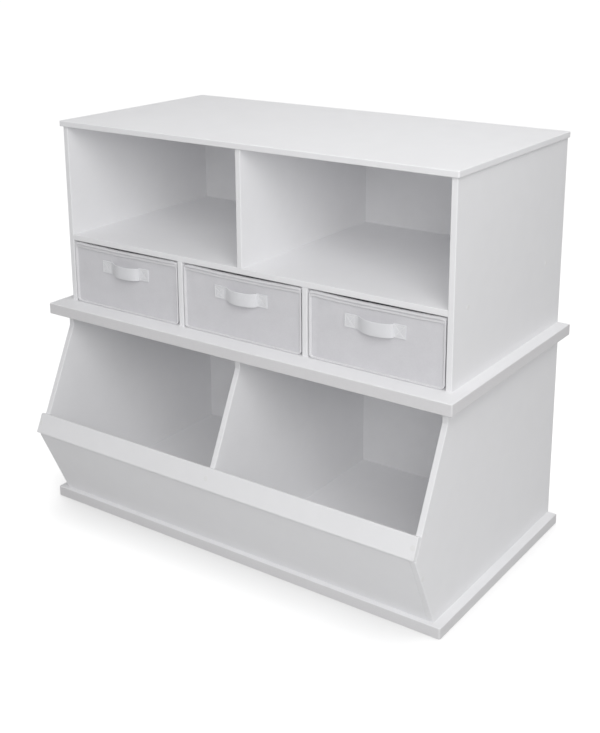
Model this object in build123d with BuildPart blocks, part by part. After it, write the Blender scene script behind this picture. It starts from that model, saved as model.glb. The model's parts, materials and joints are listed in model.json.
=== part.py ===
from build123d import *
import math
import os

os.makedirs("parts", exist_ok=True)

# Two-piece storage cubby: an angled toy cubby below, a shelf cubby with three
# fabric bins above. Millimetres, +Z up, front towards -Y, origin at the centre
# of the footprint on the floor.

# ---------------------------------------------------------------- dimensions
board_t = 12.0          # painted board of sides, dividers, shelf, top
back_t = 3.0            # thin back panels
slab_t = 24.0           # base slab of the upper unit
base_t = 22.0           # base board of the lower unit

total_depth = 583.82    # rear plane to the outermost edge of the front rail
rear_y = total_depth / 2

# lower unit
base_w, base_d = 968.0, 514.0
lower_w = 930.0         # over the side panels
lower_top_z = 426.0     # top of the lower unit, underside of the slab
slant_top_d, slant_top_z = 471.0, 396.0     # where the front starts to slant
nose_d, nose_z = 575.0, 176.0               # foremost corner of the side panels
foot_d = 503.0                              # front of the side panels at the base
rail_t = 12.0
rail_low, rail_high = 3.2, 46.0             # rail edges, measured up the slant from the nose

# upper unit
slab_w, slab_d = 978.0, 504.0
slab_top_z = lower_top_z + slab_t
upper_w, upper_d = 926.0, 458.0
shelf_top_z = 598.0
top_under_z = 831.0
top_w, top_d = 936.0, 464.0

# back panels
back_inset = 10.0       # rear plane to the rear face of the panel
back_groove = 5.0       # depth of the grooves in the sides
clear_d = back_inset + back_t               # rear plane to the panel's front face

# bins
bay_w = (upper_w - 4 * board_t) / 3
bin_w, bin_d, bin_h = 285.0, 424.0, 132.0
bin_wall, bin_floor = 4.0, 2.0
bin_gap = 0.5           # bin underside above the slab
bin_front_d = 456.0     # rear plane to the bin's front face
tape_t = 1.0            # binding tape
tape_w = 9.0
handle_len, handle_h, handle_t = 129.0, 26.0, 2.0
handle_tab = 25.0
handle_out = 16.0       # how far the arch stands out
handle_z = 540.5

# edges and hardware
edge_r = 1.5
dowel_r = 3.0
screw_r, screw_head_r, screw_head_h = 2.5, 4.5, 2.5
cap_r, cap_deep, cap_t = 5.0, 1.6, 2.0
fit = 0.05              # radial ease of every bored hole
peg_r, peg_hole_r = 5.0, 5.5


def at(d):
    """Y of a point that is d in front of the rear plane."""
    return rear_y - d


# mid planes and shared positions
side_x_up = upper_w / 2 - board_t / 2
side_x_low = lower_w / 2 - board_t / 2
inner_up = upper_w / 2 - board_t
inner_low = lower_w / 2 - board_t
bin_div_x = bay_w / 2 + board_t / 2
bay_mid = bay_w + board_t
shelf_mid_z = shelf_top_z - board_t / 2
shelf_under_z = shelf_top_z - board_t
low_top_under_z = lower_top_z - board_t

shelf_screw_ds = (77.0, 406.0)
side_dowel_ds = (60.0, 400.0)
top_dowel_ds = (40.0, 229.0, 420.0)
side_screw_ds = (150.0, 310.0)
divider_dowel_ds = (120.0, 340.0)
bin_divider_dowel_ds = (100.0, 360.0)
bin_divider_screw_d = 230.0
peg_xs, peg_ds = (-400.0, 400.0), (60.0, 430.0)

low_side_screw_ds = (60.0, 250.0, 430.0)
low_side_dowel_ds = (150.0, 350.0)
low_top_dowel_ds = (60.0, 240.0, 420.0)
low_divider_screw_ds = (120.0, 400.0)
low_divider_dowel_ds = (120.0, 340.0)

# the two slanting planes of the lower front, as unit vectors in (depth, z)
slant_len = math.hypot(nose_d - slant_top_d, slant_top_z - nose_z)
slant_u = ((slant_top_d - nose_d) / slant_len, (slant_top_z - nose_z) / slant_len)
slant_n = (slant_u[1], -slant_u[0])         # outwards, towards the front and up
kick_len = math.hypot(nose_d - foot_d, nose_z - base_t)
kick_u = ((nose_d - foot_d) / kick_len, (nose_z - base_t) / kick_len)
kick_n = (-kick_u[1], kick_u[0])            # inwards

# inner corners of the kick panel
kick_top_s = board_t / (slant_u[0] * kick_n[0] + slant_u[1] * kick_n[1])
kick_top = (nose_d + slant_u[0] * kick_top_s, nose_z + slant_u[1] * kick_top_s)
kick_foot_inner_d = foot_d - board_t / kick_u[1]

rail_screw_s = 25.0
kick_screw_u = 120.0
kick_dowel_us = (40.0, 150.0)


def kick_mid(u):
    """(depth, z) of a point in the middle of the kick panel, u up from its foot."""
    return (
        foot_d + kick_u[0] * u + kick_n[0] * board_t / 2,
        base_t + kick_u[1] * u + kick_n[1] * board_t / 2,
    )


# the slanting front plane: local X is the object's X, local Y runs up the slant
slant_plane = Plane(
    origin=(0, at(nose_d), nose_z), x_dir=(1, 0, 0), z_dir=(0, -slant_n[0], slant_n[1])
)

# ================================================================ lower unit

# ---- base board
with BuildPart() as lower_base_board:
    with BuildSketch(Plane.XY):
        with Locations((0, at(base_d / 2))):
            Rectangle(base_w, base_d)
    extrude(amount=base_t)
    fillet(lower_base_board.edges().filter_by(Axis.Z).group_by(Axis.Y)[0], 4.0)
    fillet(lower_base_board.faces().sort_by(Axis.Z)[-1].edges(), 2.5)
    fillet(lower_base_board.faces().sort_by(Axis.Z)[0].edges(), 1.5)
    # screws into the sides and the divider, heads let in from below
    with BuildSketch(Plane.XY):
        with Locations(
            *[(sx * side_x_low, at(d)) for sx in (-1, 1) for d in low_side_screw_ds],
            *[(0, at(d)) for d in low_divider_screw_ds],
        ):
            Circle(screw_r + fit)
    extrude(amount=base_t, mode=Mode.SUBTRACT)
    with BuildSketch(Plane.XY):
        with Locations(
            *[(sx * side_x_low, at(d)) for sx in (-1, 1) for d in low_side_screw_ds],
            *[(0, at(d)) for d in low_divider_screw_ds],
        ):
            Circle(screw_head_r + fit)
    extrude(amount=screw_head_h + 0.5, mode=Mode.SUBTRACT)
    with BuildSketch(Plane.XY.offset(base_t)):
        with Locations(
            *[(sx * side_x_low, at(d)) for sx in (-1, 1) for d in low_side_dowel_ds]
        ):
            Circle(dowel_r + fit)
    extrude(amount=-12.0, mode=Mode.SUBTRACT)
lower_base_board.part.label = "lower_base_board"
export_step(lower_base_board.part, "parts/lower_base_board.step")

# ---- side panels: upright back, short upright at the top front, slant to the nose, kick back to the base
with BuildPart() as lower_side_right:
    with BuildSketch(Plane.YZ.offset(inner_low)):
        with BuildLine():
            Polyline(
                (at(0), base_t),
                (at(0), lower_top_z),
                (at(slant_top_d), lower_top_z),
                (at(slant_top_d), slant_top_z),
                (at(nose_d), nose_z),
                (at(foot_d), base_t),
                close=True,
            )
        make_face()
    extrude(amount=board_t)
    fillet(
        lower_side_right.edges()
        .filter_by(Axis.X)
        .filter_by(lambda e: abs(e.center().Z - nose_z) < 1 or abs(e.center().Z - slant_top_z) < 1),
        3.0,
    )
    # softened front edges, outer and inner
    fillet(
        lower_side_right.edges().filter_by(
            lambda e: abs(e.center().X - lower_w / 2) < 0.01
            and e.center().Y < at(slant_top_d) + 1.0
            and base_t + 1 < e.center().Z < lower_top_z - 1
        ),
        edge_r,
    )
    fillet(
        lower_side_right.edges().filter_by(
            lambda e: abs(e.center().X - inner_low) < 0.01
            and e.center().Y < at(slant_top_d) + 1.0
            and nose_z + 3 < e.center().Z < lower_top_z - 1
        ),
        edge_r,
    )
    # groove for the back panel
    with BuildSketch(Plane.YZ.offset(inner_low)):
        with Locations((at(back_inset + back_t / 2), (base_t + lower_top_z) / 2)):
            Rectangle(back_t, lower_top_z - base_t)
    extrude(amount=back_groove, mode=Mode.SUBTRACT)
    # screws and dowels from the base board
    with BuildSketch(Plane.XY.offset(base_t)):
        with Locations(*[(side_x_low, at(d)) for d in low_side_screw_ds]):
            Circle(screw_r + fit)
    extrude(amount=40.0, mode=Mode.SUBTRACT)
    with BuildSketch(Plane.XY.offset(base_t)):
        with Locations(*[(side_x_low, at(d)) for d in low_side_dowel_ds]):
            Circle(dowel_r + fit)
    extrude(amount=18.0, mode=Mode.SUBTRACT)
    # dowels of the top panel and the kick panel
    with BuildSketch(Plane.YZ.offset(inner_low)):
        with Locations(
            *[(at(d), lower_top_z - board_t / 2) for d in low_top_dowel_ds],
            *[(at(kick_mid(u)[0]), kick_mid(u)[1]) for u in kick_dowel_us],
        ):
            Circle(dowel_r + fit)
    extrude(amount=8.0, mode=Mode.SUBTRACT)
    # screw through into the kick panel, under a cap
    with BuildSketch(Plane.YZ.offset(inner_low)):
        with Locations((at(kick_mid(kick_screw_u)[0]), kick_mid(kick_screw_u)[1])):
            Circle(screw_r + fit)
    extrude(amount=board_t, mode=Mode.SUBTRACT)
    with BuildSketch(Plane.YZ.offset(lower_w / 2)):
        with Locations((at(kick_mid(kick_screw_u)[0]), kick_mid(kick_screw_u)[1])):
            Circle(screw_head_r + fit)
    extrude(amount=-(cap_deep + screw_head_h), mode=Mode.SUBTRACT)
    with BuildSketch(Plane.YZ.offset(lower_w / 2)):
        with Locations((at(kick_mid(kick_screw_u)[0]), kick_mid(kick_screw_u)[1])):
            Circle(cap_r + fit)
    extrude(amount=-cap_deep, mode=Mode.SUBTRACT)
    # screw of the front rail, into the slanting edge
    with BuildSketch(slant_plane):
        with Locations((side_x_low, rail_screw_s)):
            Circle(2.0 + fit)
    extrude(amount=-34.0, mode=Mode.SUBTRACT)
lower_side_right.part.label = "lower_side_right"
export_step(lower_side_right.part, "parts/lower_side_right.step")

with BuildPart() as lower_side_left:
    mirror(lower_side_right.part, about=Plane.YZ)
lower_side_left.part.label = "lower_side_left"
export_step(lower_side_left.part, "parts/lower_side_left.step")

# ---- centre divider, behind the kick panel and under the top panel
with BuildPart() as lower_divider:
    with BuildSketch(Plane.YZ.offset(-board_t / 2)):
        with BuildLine():
            Polyline(
                (at(clear_d), base_t),
                (at(clear_d), low_top_under_z),
                (at(slant_top_d), low_top_under_z),
                (at(slant_top_d), slant_top_z),
                (at(kick_top[0]), kick_top[1]),
                (at(kick_foot_inner_d), base_t),
                close=True,
            )
        make_face()
    extrude(amount=board_t)
    fillet(
        lower_divider.edges().filter_by(Axis.X).filter_by(lambda e: abs(e.center().Z - slant_top_z) < 1),
        3.0,
    )
    fillet(
        lower_divider.edges().filter_by(
            lambda e: abs(abs(e.center().X) - board_t / 2) < 0.01
            and e.center().Y < at(slant_top_d) + 1.0
            and kick_top[1] + 1 < e.center().Z < low_top_under_z - 1
        ),
        edge_r,
    )
    with BuildSketch(Plane.XY.offset(base_t)):
        with Locations(*[(0, at(d)) for d in low_divider_screw_ds]):
            Circle(screw_r + fit)
    extrude(amount=40.0, mode=Mode.SUBTRACT)
    with BuildSketch(Plane.XY.offset(low_top_under_z)):
        with Locations(*[(0, at(d)) for d in low_divider_dowel_ds]):
            Circle(dowel_r + fit)
    extrude(amount=-18.0, mode=Mode.SUBTRACT)
    with BuildSketch(slant_plane):
        with Locations((0, rail_screw_s)):
            Circle(2.0 + fit)
    extrude(amount=-34.0, mode=Mode.SUBTRACT)
lower_divider.part.label = "lower_divider"
export_step(lower_divider.part, "parts/lower_divider.step")

# ---- top panel, between the sides, bored for the stacking pegs
with BuildPart() as lower_top_panel:
    with BuildSketch(Plane.XY.offset(low_top_under_z)):
        with Locations((0, at((clear_d + slant_top_d) / 2))):
            Rectangle(2 * inner_low, slant_top_d - clear_d)
    extrude(amount=board_t)
    fillet(lower_top_panel.edges().filter_by(Axis.X).group_by(Axis.Y)[0], edge_r)
    with BuildSketch(Plane.XY.offset(low_top_under_z)):
        with Locations(*[(px, at(d)) for px in peg_xs for d in peg_ds]):
            Circle(peg_hole_r)
    extrude(amount=board_t, mode=Mode.SUBTRACT)
    with BuildSketch(Plane.XY.offset(low_top_under_z)):
        with Locations(*[(0, at(d)) for d in low_divider_dowel_ds]):
            Circle(dowel_r + fit)
    extrude(amount=8.0, mode=Mode.SUBTRACT)
    for sx in (-1, 1):
        with BuildSketch(Plane.YZ.offset(sx * inner_low)):
            with Locations(*[(at(d), lower_top_z - board_t / 2) for d in low_top_dowel_ds]):
                Circle(dowel_r + fit)
        extrude(amount=-sx * 20.0, mode=Mode.SUBTRACT)
lower_top_panel.part.label = "lower_top_panel"
export_step(lower_top_panel.part, "parts/lower_top_panel.step")

# ---- kick panel, between the sides, its top edge cut to the upper slant
with BuildPart() as lower_kick_panel:
    with BuildSketch(Plane.YZ.offset(-inner_low)):
        with BuildLine():
            Polyline(
                (at(nose_d), nose_z),
                (at(kick_top[0]), kick_top[1]),
                (at(kick_foot_inner_d), base_t),
                (at(foot_d), base_t),
                close=True,
            )
        make_face()
    extrude(amount=2 * inner_low)
    fillet(
        lower_kick_panel.edges().filter_by(Axis.X).filter_by(lambda e: abs(e.center().Z - nose_z) < 0.1),
        2.0,
    )
    for sx in (-1, 1):
        with BuildSketch(Plane.YZ.offset(sx * inner_low)):
            with Locations(*[(at(kick_mid(u)[0]), kick_mid(u)[1]) for u in kick_dowel_us]):
                Circle(dowel_r + fit)
        extrude(amount=-sx * 20.0, mode=Mode.SUBTRACT)
        with BuildSketch(Plane.YZ.offset(sx * inner_low)):
            with Locations((at(kick_mid(kick_screw_u)[0]), kick_mid(kick_screw_u)[1])):
                Circle(screw_r + fit)
        extrude(amount=-sx * 32.0, mode=Mode.SUBTRACT)
lower_kick_panel.part.label = "lower_kick_panel"
export_step(lower_kick_panel.part, "parts/lower_kick_panel.step")

# ---- front rail, lying on the slanting edges of the sides and the divider
with BuildPart() as lower_front_rail:
    with BuildSketch(slant_plane):
        with Locations((0, (rail_low + rail_high) / 2)):
            Rectangle(lower_w, rail_high - rail_low)
    extrude(amount=rail_t)
    fillet(lower_front_rail.edges().filter_by(Axis.X), 2.0)
    fillet(
        lower_front_rail.edges().filter_by(
            lambda e: abs(abs(e.center().X) - lower_w / 2) < 0.01 and e.length > 5
        ),
        1.0,
    )
    with BuildSketch(slant_plane):
        with Locations(*[(x, rail_screw_s) for x in (-side_x_low, 0, side_x_low)]):
            Circle(2.0 + fit)
    extrude(amount=rail_t, mode=Mode.SUBTRACT)
    with BuildSketch(slant_plane.offset(rail_t)):
        with Locations(*[(x, rail_screw_s) for x in (-side_x_low, 0, side_x_low)]):
            Circle(4.0 + fit)
    extrude(amount=-(cap_deep + 2.5), mode=Mode.SUBTRACT)
    with BuildSketch(slant_plane.offset(rail_t)):
        with Locations(*[(x, rail_screw_s) for x in (-side_x_low, 0, side_x_low)]):
            Circle(cap_r + fit)
    extrude(amount=-cap_deep, mode=Mode.SUBTRACT)
lower_front_rail.part.label = "lower_front_rail"
export_step(lower_front_rail.part, "parts/lower_front_rail.step")

# ---- back panel in the side grooves
with BuildPart() as lower_back_panel:
    with BuildSketch(Plane.XY.offset(base_t)):
        with Locations((0, at(back_inset + back_t / 2))):
            Rectangle(2 * (inner_low + back_groove), back_t)
    extrude(amount=lower_top_z - base_t)
lower_back_panel.part.label = "lower_back_panel"
export_step(lower_back_panel.part, "parts/lower_back_panel.step")

# ---- screws from below the base board
with BuildPart() as lower_base_screws:
    with BuildSketch(Plane.XY.offset(0.5)):
        with Locations(
            *[(sx * side_x_low, at(d)) for sx in (-1, 1) for d in low_side_screw_ds],
            *[(0, at(d)) for d in low_divider_screw_ds],
        ):
            Circle(screw_head_r)
            RegularPolygon(2.0, 6, mode=Mode.SUBTRACT)
    extrude(amount=screw_head_h)
    with BuildSketch(Plane.XY.offset(2.0)):
        with Locations(
            *[(sx * side_x_low, at(d)) for sx in (-1, 1) for d in low_side_screw_ds],
            *[(0, at(d)) for d in low_divider_screw_ds],
        ):
            Circle(screw_r)
    extrude(amount=base_t + 36.0)
lower_base_screws.part.label = "lower_base_screws"
export_step(lower_base_screws.part, "parts/lower_base_screws.step")

# ---- screws of the front rail and their caps
with BuildPart() as rail_screws:
    with BuildSketch(slant_plane.offset(rail_t - cap_deep)):
        with Locations(*[(x, rail_screw_s) for x in (-side_x_low, 0, side_x_low)]):
            Circle(4.0)
    extrude(amount=-2.5)
    with BuildSketch(slant_plane.offset(rail_t - cap_deep - 2.5)):
        with Locations(*[(x, rail_screw_s) for x in (-side_x_low, 0, side_x_low)]):
            Circle(2.0)
    extrude(amount=-32.0)
rail_screws.part.label = "rail_screws"
export_step(rail_screws.part, "parts/rail_screws.step")

with BuildPart() as rail_screw_caps:
    with BuildSketch(slant_plane.offset(rail_t - cap_deep)):
        with Locations(*[(x, rail_screw_s) for x in (-side_x_low, 0, side_x_low)]):
            Circle(cap_r)
    extrude(amount=cap_t)
    fillet(
        rail_screw_caps.edges().filter_by(GeomType.CIRCLE).filter_by(
            lambda e: slant_plane.to_local_coords(e.center()).Z > rail_t
        ),
        0.3,
    )
rail_screw_caps.part.label = "rail_screw_caps"
export_step(rail_screw_caps.part, "parts/rail_screw_caps.step")

# ---- screws through the sides into the kick panel and their caps
with BuildPart() as kick_screws:
    for sx in (-1, 1):
        with BuildSketch(Plane.YZ.offset(sx * (lower_w / 2 - cap_deep))):
            with Locations((at(kick_mid(kick_screw_u)[0]), kick_mid(kick_screw_u)[1])):
                Circle(screw_head_r)
        extrude(amount=-sx * screw_head_h)
        with BuildSketch(Plane.YZ.offset(sx * (lower_w / 2 - cap_deep - screw_head_h))):
            with Locations((at(kick_mid(kick_screw_u)[0]), kick_mid(kick_screw_u)[1])):
                Circle(screw_r)
        extrude(amount=-sx * 36.0)
kick_screws.part.label = "kick_screws"
export_step(kick_screws.part, "parts/kick_screws.step")

with BuildPart() as kick_screw_caps:
    for sx in (-1, 1):
        with BuildSketch(Plane.YZ.offset(sx * (lower_w / 2 - cap_deep))):
            with Locations((at(kick_mid(kick_screw_u)[0]), kick_mid(kick_screw_u)[1])):
                Circle(cap_r)
        extrude(amount=sx * cap_t)
    fillet(
        kick_screw_caps.edges().filter_by(GeomType.CIRCLE).filter_by(
            lambda e: abs(e.center().X) > lower_w / 2
        ),
        0.3,
    )
kick_screw_caps.part.label = "kick_screw_caps"
export_step(kick_screw_caps.part, "parts/kick_screw_caps.step")

# ---- wood dowels of the lower unit
with BuildPart() as lower_dowels:
    with BuildSketch(Plane.XY.offset(base_t - 11.5)):
        with Locations(
            *[(sx * side_x_low, at(d)) for sx in (-1, 1) for d in low_side_dowel_ds]
        ):
            Circle(dowel_r)
    extrude(amount=29.0)
    with BuildSketch(Plane.XY.offset(low_top_under_z - 17.5)):
        with Locations(*[(0, at(d)) for d in low_divider_dowel_ds]):
            Circle(dowel_r)
    extrude(amount=25.0)
    for sx in (-1, 1):
        with BuildSketch(Plane.YZ.offset(sx * (inner_low + 7.5))):
            with Locations(
                *[(at(d), lower_top_z - board_t / 2) for d in low_top_dowel_ds],
                *[(at(kick_mid(u)[0]), kick_mid(u)[1]) for u in kick_dowel_us],
            ):
                Circle(dowel_r)
        extrude(amount=-sx * 27.0)
lower_dowels.part.label = "lower_dowels"
export_step(lower_dowels.part, "parts/lower_dowels.step")

# ================================================================ upper unit

# ---- base slab, also the floor of the bin bays
with BuildPart() as upper_base_slab:
    with BuildSketch(Plane.XY.offset(lower_top_z)):
        with Locations((0, at(slab_d / 2))):
            Rectangle(slab_w, slab_d)
    extrude(amount=slab_t)
    fillet(upper_base_slab.edges().filter_by(Axis.Z).group_by(Axis.Y)[0], 3.0)
    fillet(upper_base_slab.faces().sort_by(Axis.Z)[-1].edges(), 2.5)
    fillet(upper_base_slab.faces().sort_by(Axis.Z)[0].edges(), 2.0)
    # screws from below
    with BuildSketch(Plane.XY.offset(lower_top_z)):
        with Locations(
            *[(sx * side_x_up, at(d)) for sx in (-1, 1) for d in side_screw_ds],
            *[(sx * bin_div_x, at(bin_divider_screw_d)) for sx in (-1, 1)],
        ):
            Circle(screw_r + fit)
    extrude(amount=slab_t, mode=Mode.SUBTRACT)
    with BuildSketch(Plane.XY.offset(lower_top_z)):
        with Locations(
            *[(sx * side_x_up, at(d)) for sx in (-1, 1) for d in side_screw_ds],
            *[(sx * bin_div_x, at(bin_divider_screw_d)) for sx in (-1, 1)],
        ):
            Circle(screw_head_r + fit)
    extrude(amount=screw_head_h + 0.5, mode=Mode.SUBTRACT)
    # dowels under the sides and the bin dividers
    with BuildSketch(Plane.XY.offset(slab_top_z)):
        with Locations(
            *[(sx * side_x_up, at(d)) for sx in (-1, 1) for d in side_dowel_ds],
            *[(sx * bin_div_x, at(d)) for sx in (-1, 1) for d in bin_divider_dowel_ds],
        ):
            Circle(dowel_r + fit)
    extrude(amount=-12.0, mode=Mode.SUBTRACT)
    # blind holes of the stacking pegs
    with BuildSketch(Plane.XY.offset(lower_top_z)):
        with Locations(*[(px, at(d)) for px in peg_xs for d in peg_ds]):
            Circle(peg_r + fit)
    extrude(amount=12.0, mode=Mode.SUBTRACT)
upper_base_slab.part.label = "upper_base_slab"
export_step(upper_base_slab.part, "parts/upper_base_slab.step")

# ---- side panels
with BuildPart() as upper_side_right:
    with BuildSketch(Plane.YZ.offset(inner_up)):
        with Locations((at(upper_d / 2), (slab_top_z + top_under_z) / 2)):
            Rectangle(upper_d, top_under_z - slab_top_z)
    extrude(amount=board_t)
    fillet(upper_side_right.edges().filter_by(Axis.Z).group_by(Axis.Y)[0], edge_r)
    fillet(
        upper_side_right.edges().filter_by(Axis.Z).filter_by(
            lambda e: abs(e.center().X - upper_w / 2) < 0.01 and e.center().Y > 0
        ),
        1.0,
    )
    with BuildSketch(Plane.YZ.offset(inner_up)):
        with Locations((at(back_inset + back_t / 2), (slab_top_z + top_under_z) / 2)):
            Rectangle(back_t, top_under_z - slab_top_z)
    extrude(amount=back_groove, mode=Mode.SUBTRACT)
    # shelf screws, let in under caps
    with BuildSketch(Plane.YZ.offset(inner_up)):
        with Locations(*[(at(d), shelf_mid_z) for d in shelf_screw_ds]):
            Circle(screw_r + fit)
    extrude(amount=board_t, mode=Mode.SUBTRACT)
    with BuildSketch(Plane.YZ.offset(upper_w / 2)):
        with Locations(*[(at(d), shelf_mid_z) for d in shelf_screw_ds]):
            Circle(screw_head_r + fit)
    extrude(amount=-(cap_deep + screw_head_h), mode=Mode.SUBTRACT)
    with BuildSketch(Plane.YZ.offset(upper_w / 2)):
        with Locations(*[(at(d), shelf_mid_z) for d in shelf_screw_ds]):
            Circle(cap_r + fit)
    extrude(amount=-cap_deep, mode=Mode.SUBTRACT)
    # screws and dowels from the slab, dowels to the top panel
    with BuildSketch(Plane.XY.offset(slab_top_z)):
        with Locations(*[(side_x_up, at(d)) for d in side_screw_ds]):
            Circle(screw_r + fit)
    extrude(amount=40.0, mode=Mode.SUBTRACT)
    with BuildSketch(Plane.XY.offset(slab_top_z)):
        with Locations(*[(side_x_up, at(d)) for d in side_dowel_ds]):
            Circle(dowel_r + fit)
    extrude(amount=18.0, mode=Mode.SUBTRACT)
    with BuildSketch(Plane.XY.offset(top_under_z)):
        with Locations(*[(side_x_up, at(d)) for d in top_dowel_ds]):
            Circle(dowel_r + fit)
    extrude(amount=-18.0, mode=Mode.SUBTRACT)
upper_side_right.part.label = "upper_side_right"
export_step(upper_side_right.part, "parts/upper_side_right.step")

with BuildPart() as upper_side_left:
    mirror(upper_side_right.part, about=Plane.YZ)
upper_side_left.part.label = "upper_side_left"
export_step(upper_side_left.part, "parts/upper_side_left.step")

# ---- top panel
with BuildPart() as upper_top_panel:
    with BuildSketch(Plane.XY.offset(top_under_z)):
        with Locations((0, at(top_d / 2))):
            Rectangle(top_w, top_d)
    extrude(amount=board_t)
    fillet(upper_top_panel.edges().filter_by(Axis.Z), 2.5)
    fillet(upper_top_panel.faces().sort_by(Axis.Z)[-1].edges(), 2.0)
    fillet(upper_top_panel.faces().sort_by(Axis.Z)[0].edges(), 1.5)
    with BuildSketch(Plane.XY.offset(top_under_z)):
        with Locations(
            *[(sx * side_x_up, at(d)) for sx in (-1, 1) for d in top_dowel_ds],
            *[(0, at(d)) for d in divider_dowel_ds],
        ):
            Circle(dowel_r + fit)
    extrude(amount=8.0, mode=Mode.SUBTRACT)
upper_top_panel.part.label = "upper_top_panel"
export_step(upper_top_panel.part, "parts/upper_top_panel.step")

# ---- full-width shelf
with BuildPart() as upper_shelf:
    with BuildSketch(Plane.XY.offset(shelf_under_z)):
        with Locations((0, at((clear_d + upper_d) / 2))):
            Rectangle(2 * inner_up, upper_d - clear_d)
    extrude(amount=board_t)
    fillet(upper_shelf.edges().filter_by(Axis.X).group_by(Axis.Y)[0], edge_r)
    for sx in (-1, 1):
        with BuildSketch(Plane.YZ.offset(sx * inner_up)):
            with Locations(*[(at(d), shelf_mid_z) for d in shelf_screw_ds]):
                Circle(screw_r + fit)
        extrude(amount=-sx * 32.0, mode=Mode.SUBTRACT)
    with BuildSketch(Plane.XY.offset(shelf_top_z)):
        with Locations(*[(0, at(d)) for d in divider_dowel_ds]):
            Circle(dowel_r + fit)
    extrude(amount=-8.0, mode=Mode.SUBTRACT)
    with BuildSketch(Plane.XY.offset(shelf_under_z)):
        with Locations(*[(sx * bin_div_x, at(d)) for sx in (-1, 1) for d in bin_divider_dowel_ds]):
            Circle(dowel_r + fit)
    extrude(amount=8.0, mode=Mode.SUBTRACT)
upper_shelf.part.label = "upper_shelf"
export_step(upper_shelf.part, "parts/upper_shelf.step")

# ---- centre divider above the shelf
with BuildPart() as upper_divider:
    with BuildSketch(Plane.YZ.offset(-board_t / 2)):
        with Locations((at((clear_d + upper_d) / 2), (shelf_top_z + top_under_z) / 2)):
            Rectangle(upper_d - clear_d, top_under_z - shelf_top_z)
    extrude(amount=board_t)
    fillet(upper_divider.edges().filter_by(Axis.Z).group_by(Axis.Y)[0], edge_r)
    with BuildSketch(Plane.XY.offset(shelf_top_z)):
        with Locations(*[(0, at(d)) for d in divider_dowel_ds]):
            Circle(dowel_r + fit)
    extrude(amount=18.0, mode=Mode.SUBTRACT)
    with BuildSketch(Plane.XY.offset(top_under_z)):
        with Locations(*[(0, at(d)) for d in divider_dowel_ds]):
            Circle(dowel_r + fit)
    extrude(amount=-18.0, mode=Mode.SUBTRACT)
upper_divider.part.label = "upper_divider"
export_step(upper_divider.part, "parts/upper_divider.step")

# ---- bin dividers below the shelf
with BuildPart() as bin_divider_right:
    with BuildSketch(Plane.YZ.offset(bin_div_x - board_t / 2)):
        with Locations((at((clear_d + upper_d) / 2), (slab_top_z + shelf_under_z) / 2)):
            Rectangle(upper_d - clear_d, shelf_under_z - slab_top_z)
    extrude(amount=board_t)
    fillet(bin_divider_right.edges().filter_by(Axis.Z).group_by(Axis.Y)[0], edge_r)
    with BuildSketch(Plane.XY.offset(slab_top_z)):
        with Locations((bin_div_x, at(bin_divider_screw_d))):
            Circle(screw_r + fit)
    extrude(amount=40.0, mode=Mode.SUBTRACT)
    with BuildSketch(Plane.XY.offset(slab_top_z)):
        with Locations(*[(bin_div_x, at(d)) for d in bin_divider_dowel_ds]):
            Circle(dowel_r + fit)
    extrude(amount=18.0, mode=Mode.SUBTRACT)
    with BuildSketch(Plane.XY.offset(shelf_under_z)):
        with Locations(*[(bin_div_x, at(d)) for d in bin_divider_dowel_ds]):
            Circle(dowel_r + fit)
    extrude(amount=-18.0, mode=Mode.SUBTRACT)
bin_divider_right.part.label = "bin_divider_right"
export_step(bin_divider_right.part, "parts/bin_divider_right.step")

with BuildPart() as bin_divider_left:
    mirror(bin_divider_right.part, about=Plane.YZ)
bin_divider_left.part.label = "bin_divider_left"
export_step(bin_divider_left.part, "parts/bin_divider_left.step")

# ---- back panel in the side grooves
with BuildPart() as upper_back_panel:
    with BuildSketch(Plane.XY.offset(slab_top_z)):
        with Locations((0, at(back_inset + back_t / 2))):
            Rectangle(2 * (inner_up + back_groove), back_t)
    extrude(amount=top_under_z - slab_top_z)
upper_back_panel.part.label = "upper_back_panel"
export_step(upper_back_panel.part, "parts/upper_back_panel.step")

# ---- screws from below the slab
with BuildPart() as upper_slab_screws:
    with BuildSketch(Plane.XY.offset(lower_top_z + 0.5)):
        with Locations(
            *[(sx * side_x_up, at(d)) for sx in (-1, 1) for d in side_screw_ds],
            *[(sx * bin_div_x, at(bin_divider_screw_d)) for sx in (-1, 1)],
        ):
            Circle(screw_head_r)
            RegularPolygon(2.0, 6, mode=Mode.SUBTRACT)
    extrude(amount=screw_head_h)
    with BuildSketch(Plane.XY.offset(lower_top_z + 2.0)):
        with Locations(
            *[(sx * side_x_up, at(d)) for sx in (-1, 1) for d in side_screw_ds],
            *[(sx * bin_div_x, at(bin_divider_screw_d)) for sx in (-1, 1)],
        ):
            Circle(screw_r)
    extrude(amount=slab_t + 36.0)
upper_slab_screws.part.label = "upper_slab_screws"
export_step(upper_slab_screws.part, "parts/upper_slab_screws.step")

# ---- screws through the sides into the shelf, and their caps
with BuildPart() as shelf_screws:
    for sx in (-1, 1):
        with BuildSketch(Plane.YZ.offset(sx * (upper_w / 2 - cap_deep))):
            with Locations(*[(at(d), shelf_mid_z) for d in shelf_screw_ds]):
                Circle(screw_head_r)
        extrude(amount=-sx * screw_head_h)
        with BuildSketch(Plane.YZ.offset(sx * (upper_w / 2 - cap_deep - screw_head_h))):
            with Locations(*[(at(d), shelf_mid_z) for d in shelf_screw_ds]):
                Circle(screw_r)
        extrude(amount=-sx * 36.0)
shelf_screws.part.label = "shelf_screws"
export_step(shelf_screws.part, "parts/shelf_screws.step")

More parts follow.
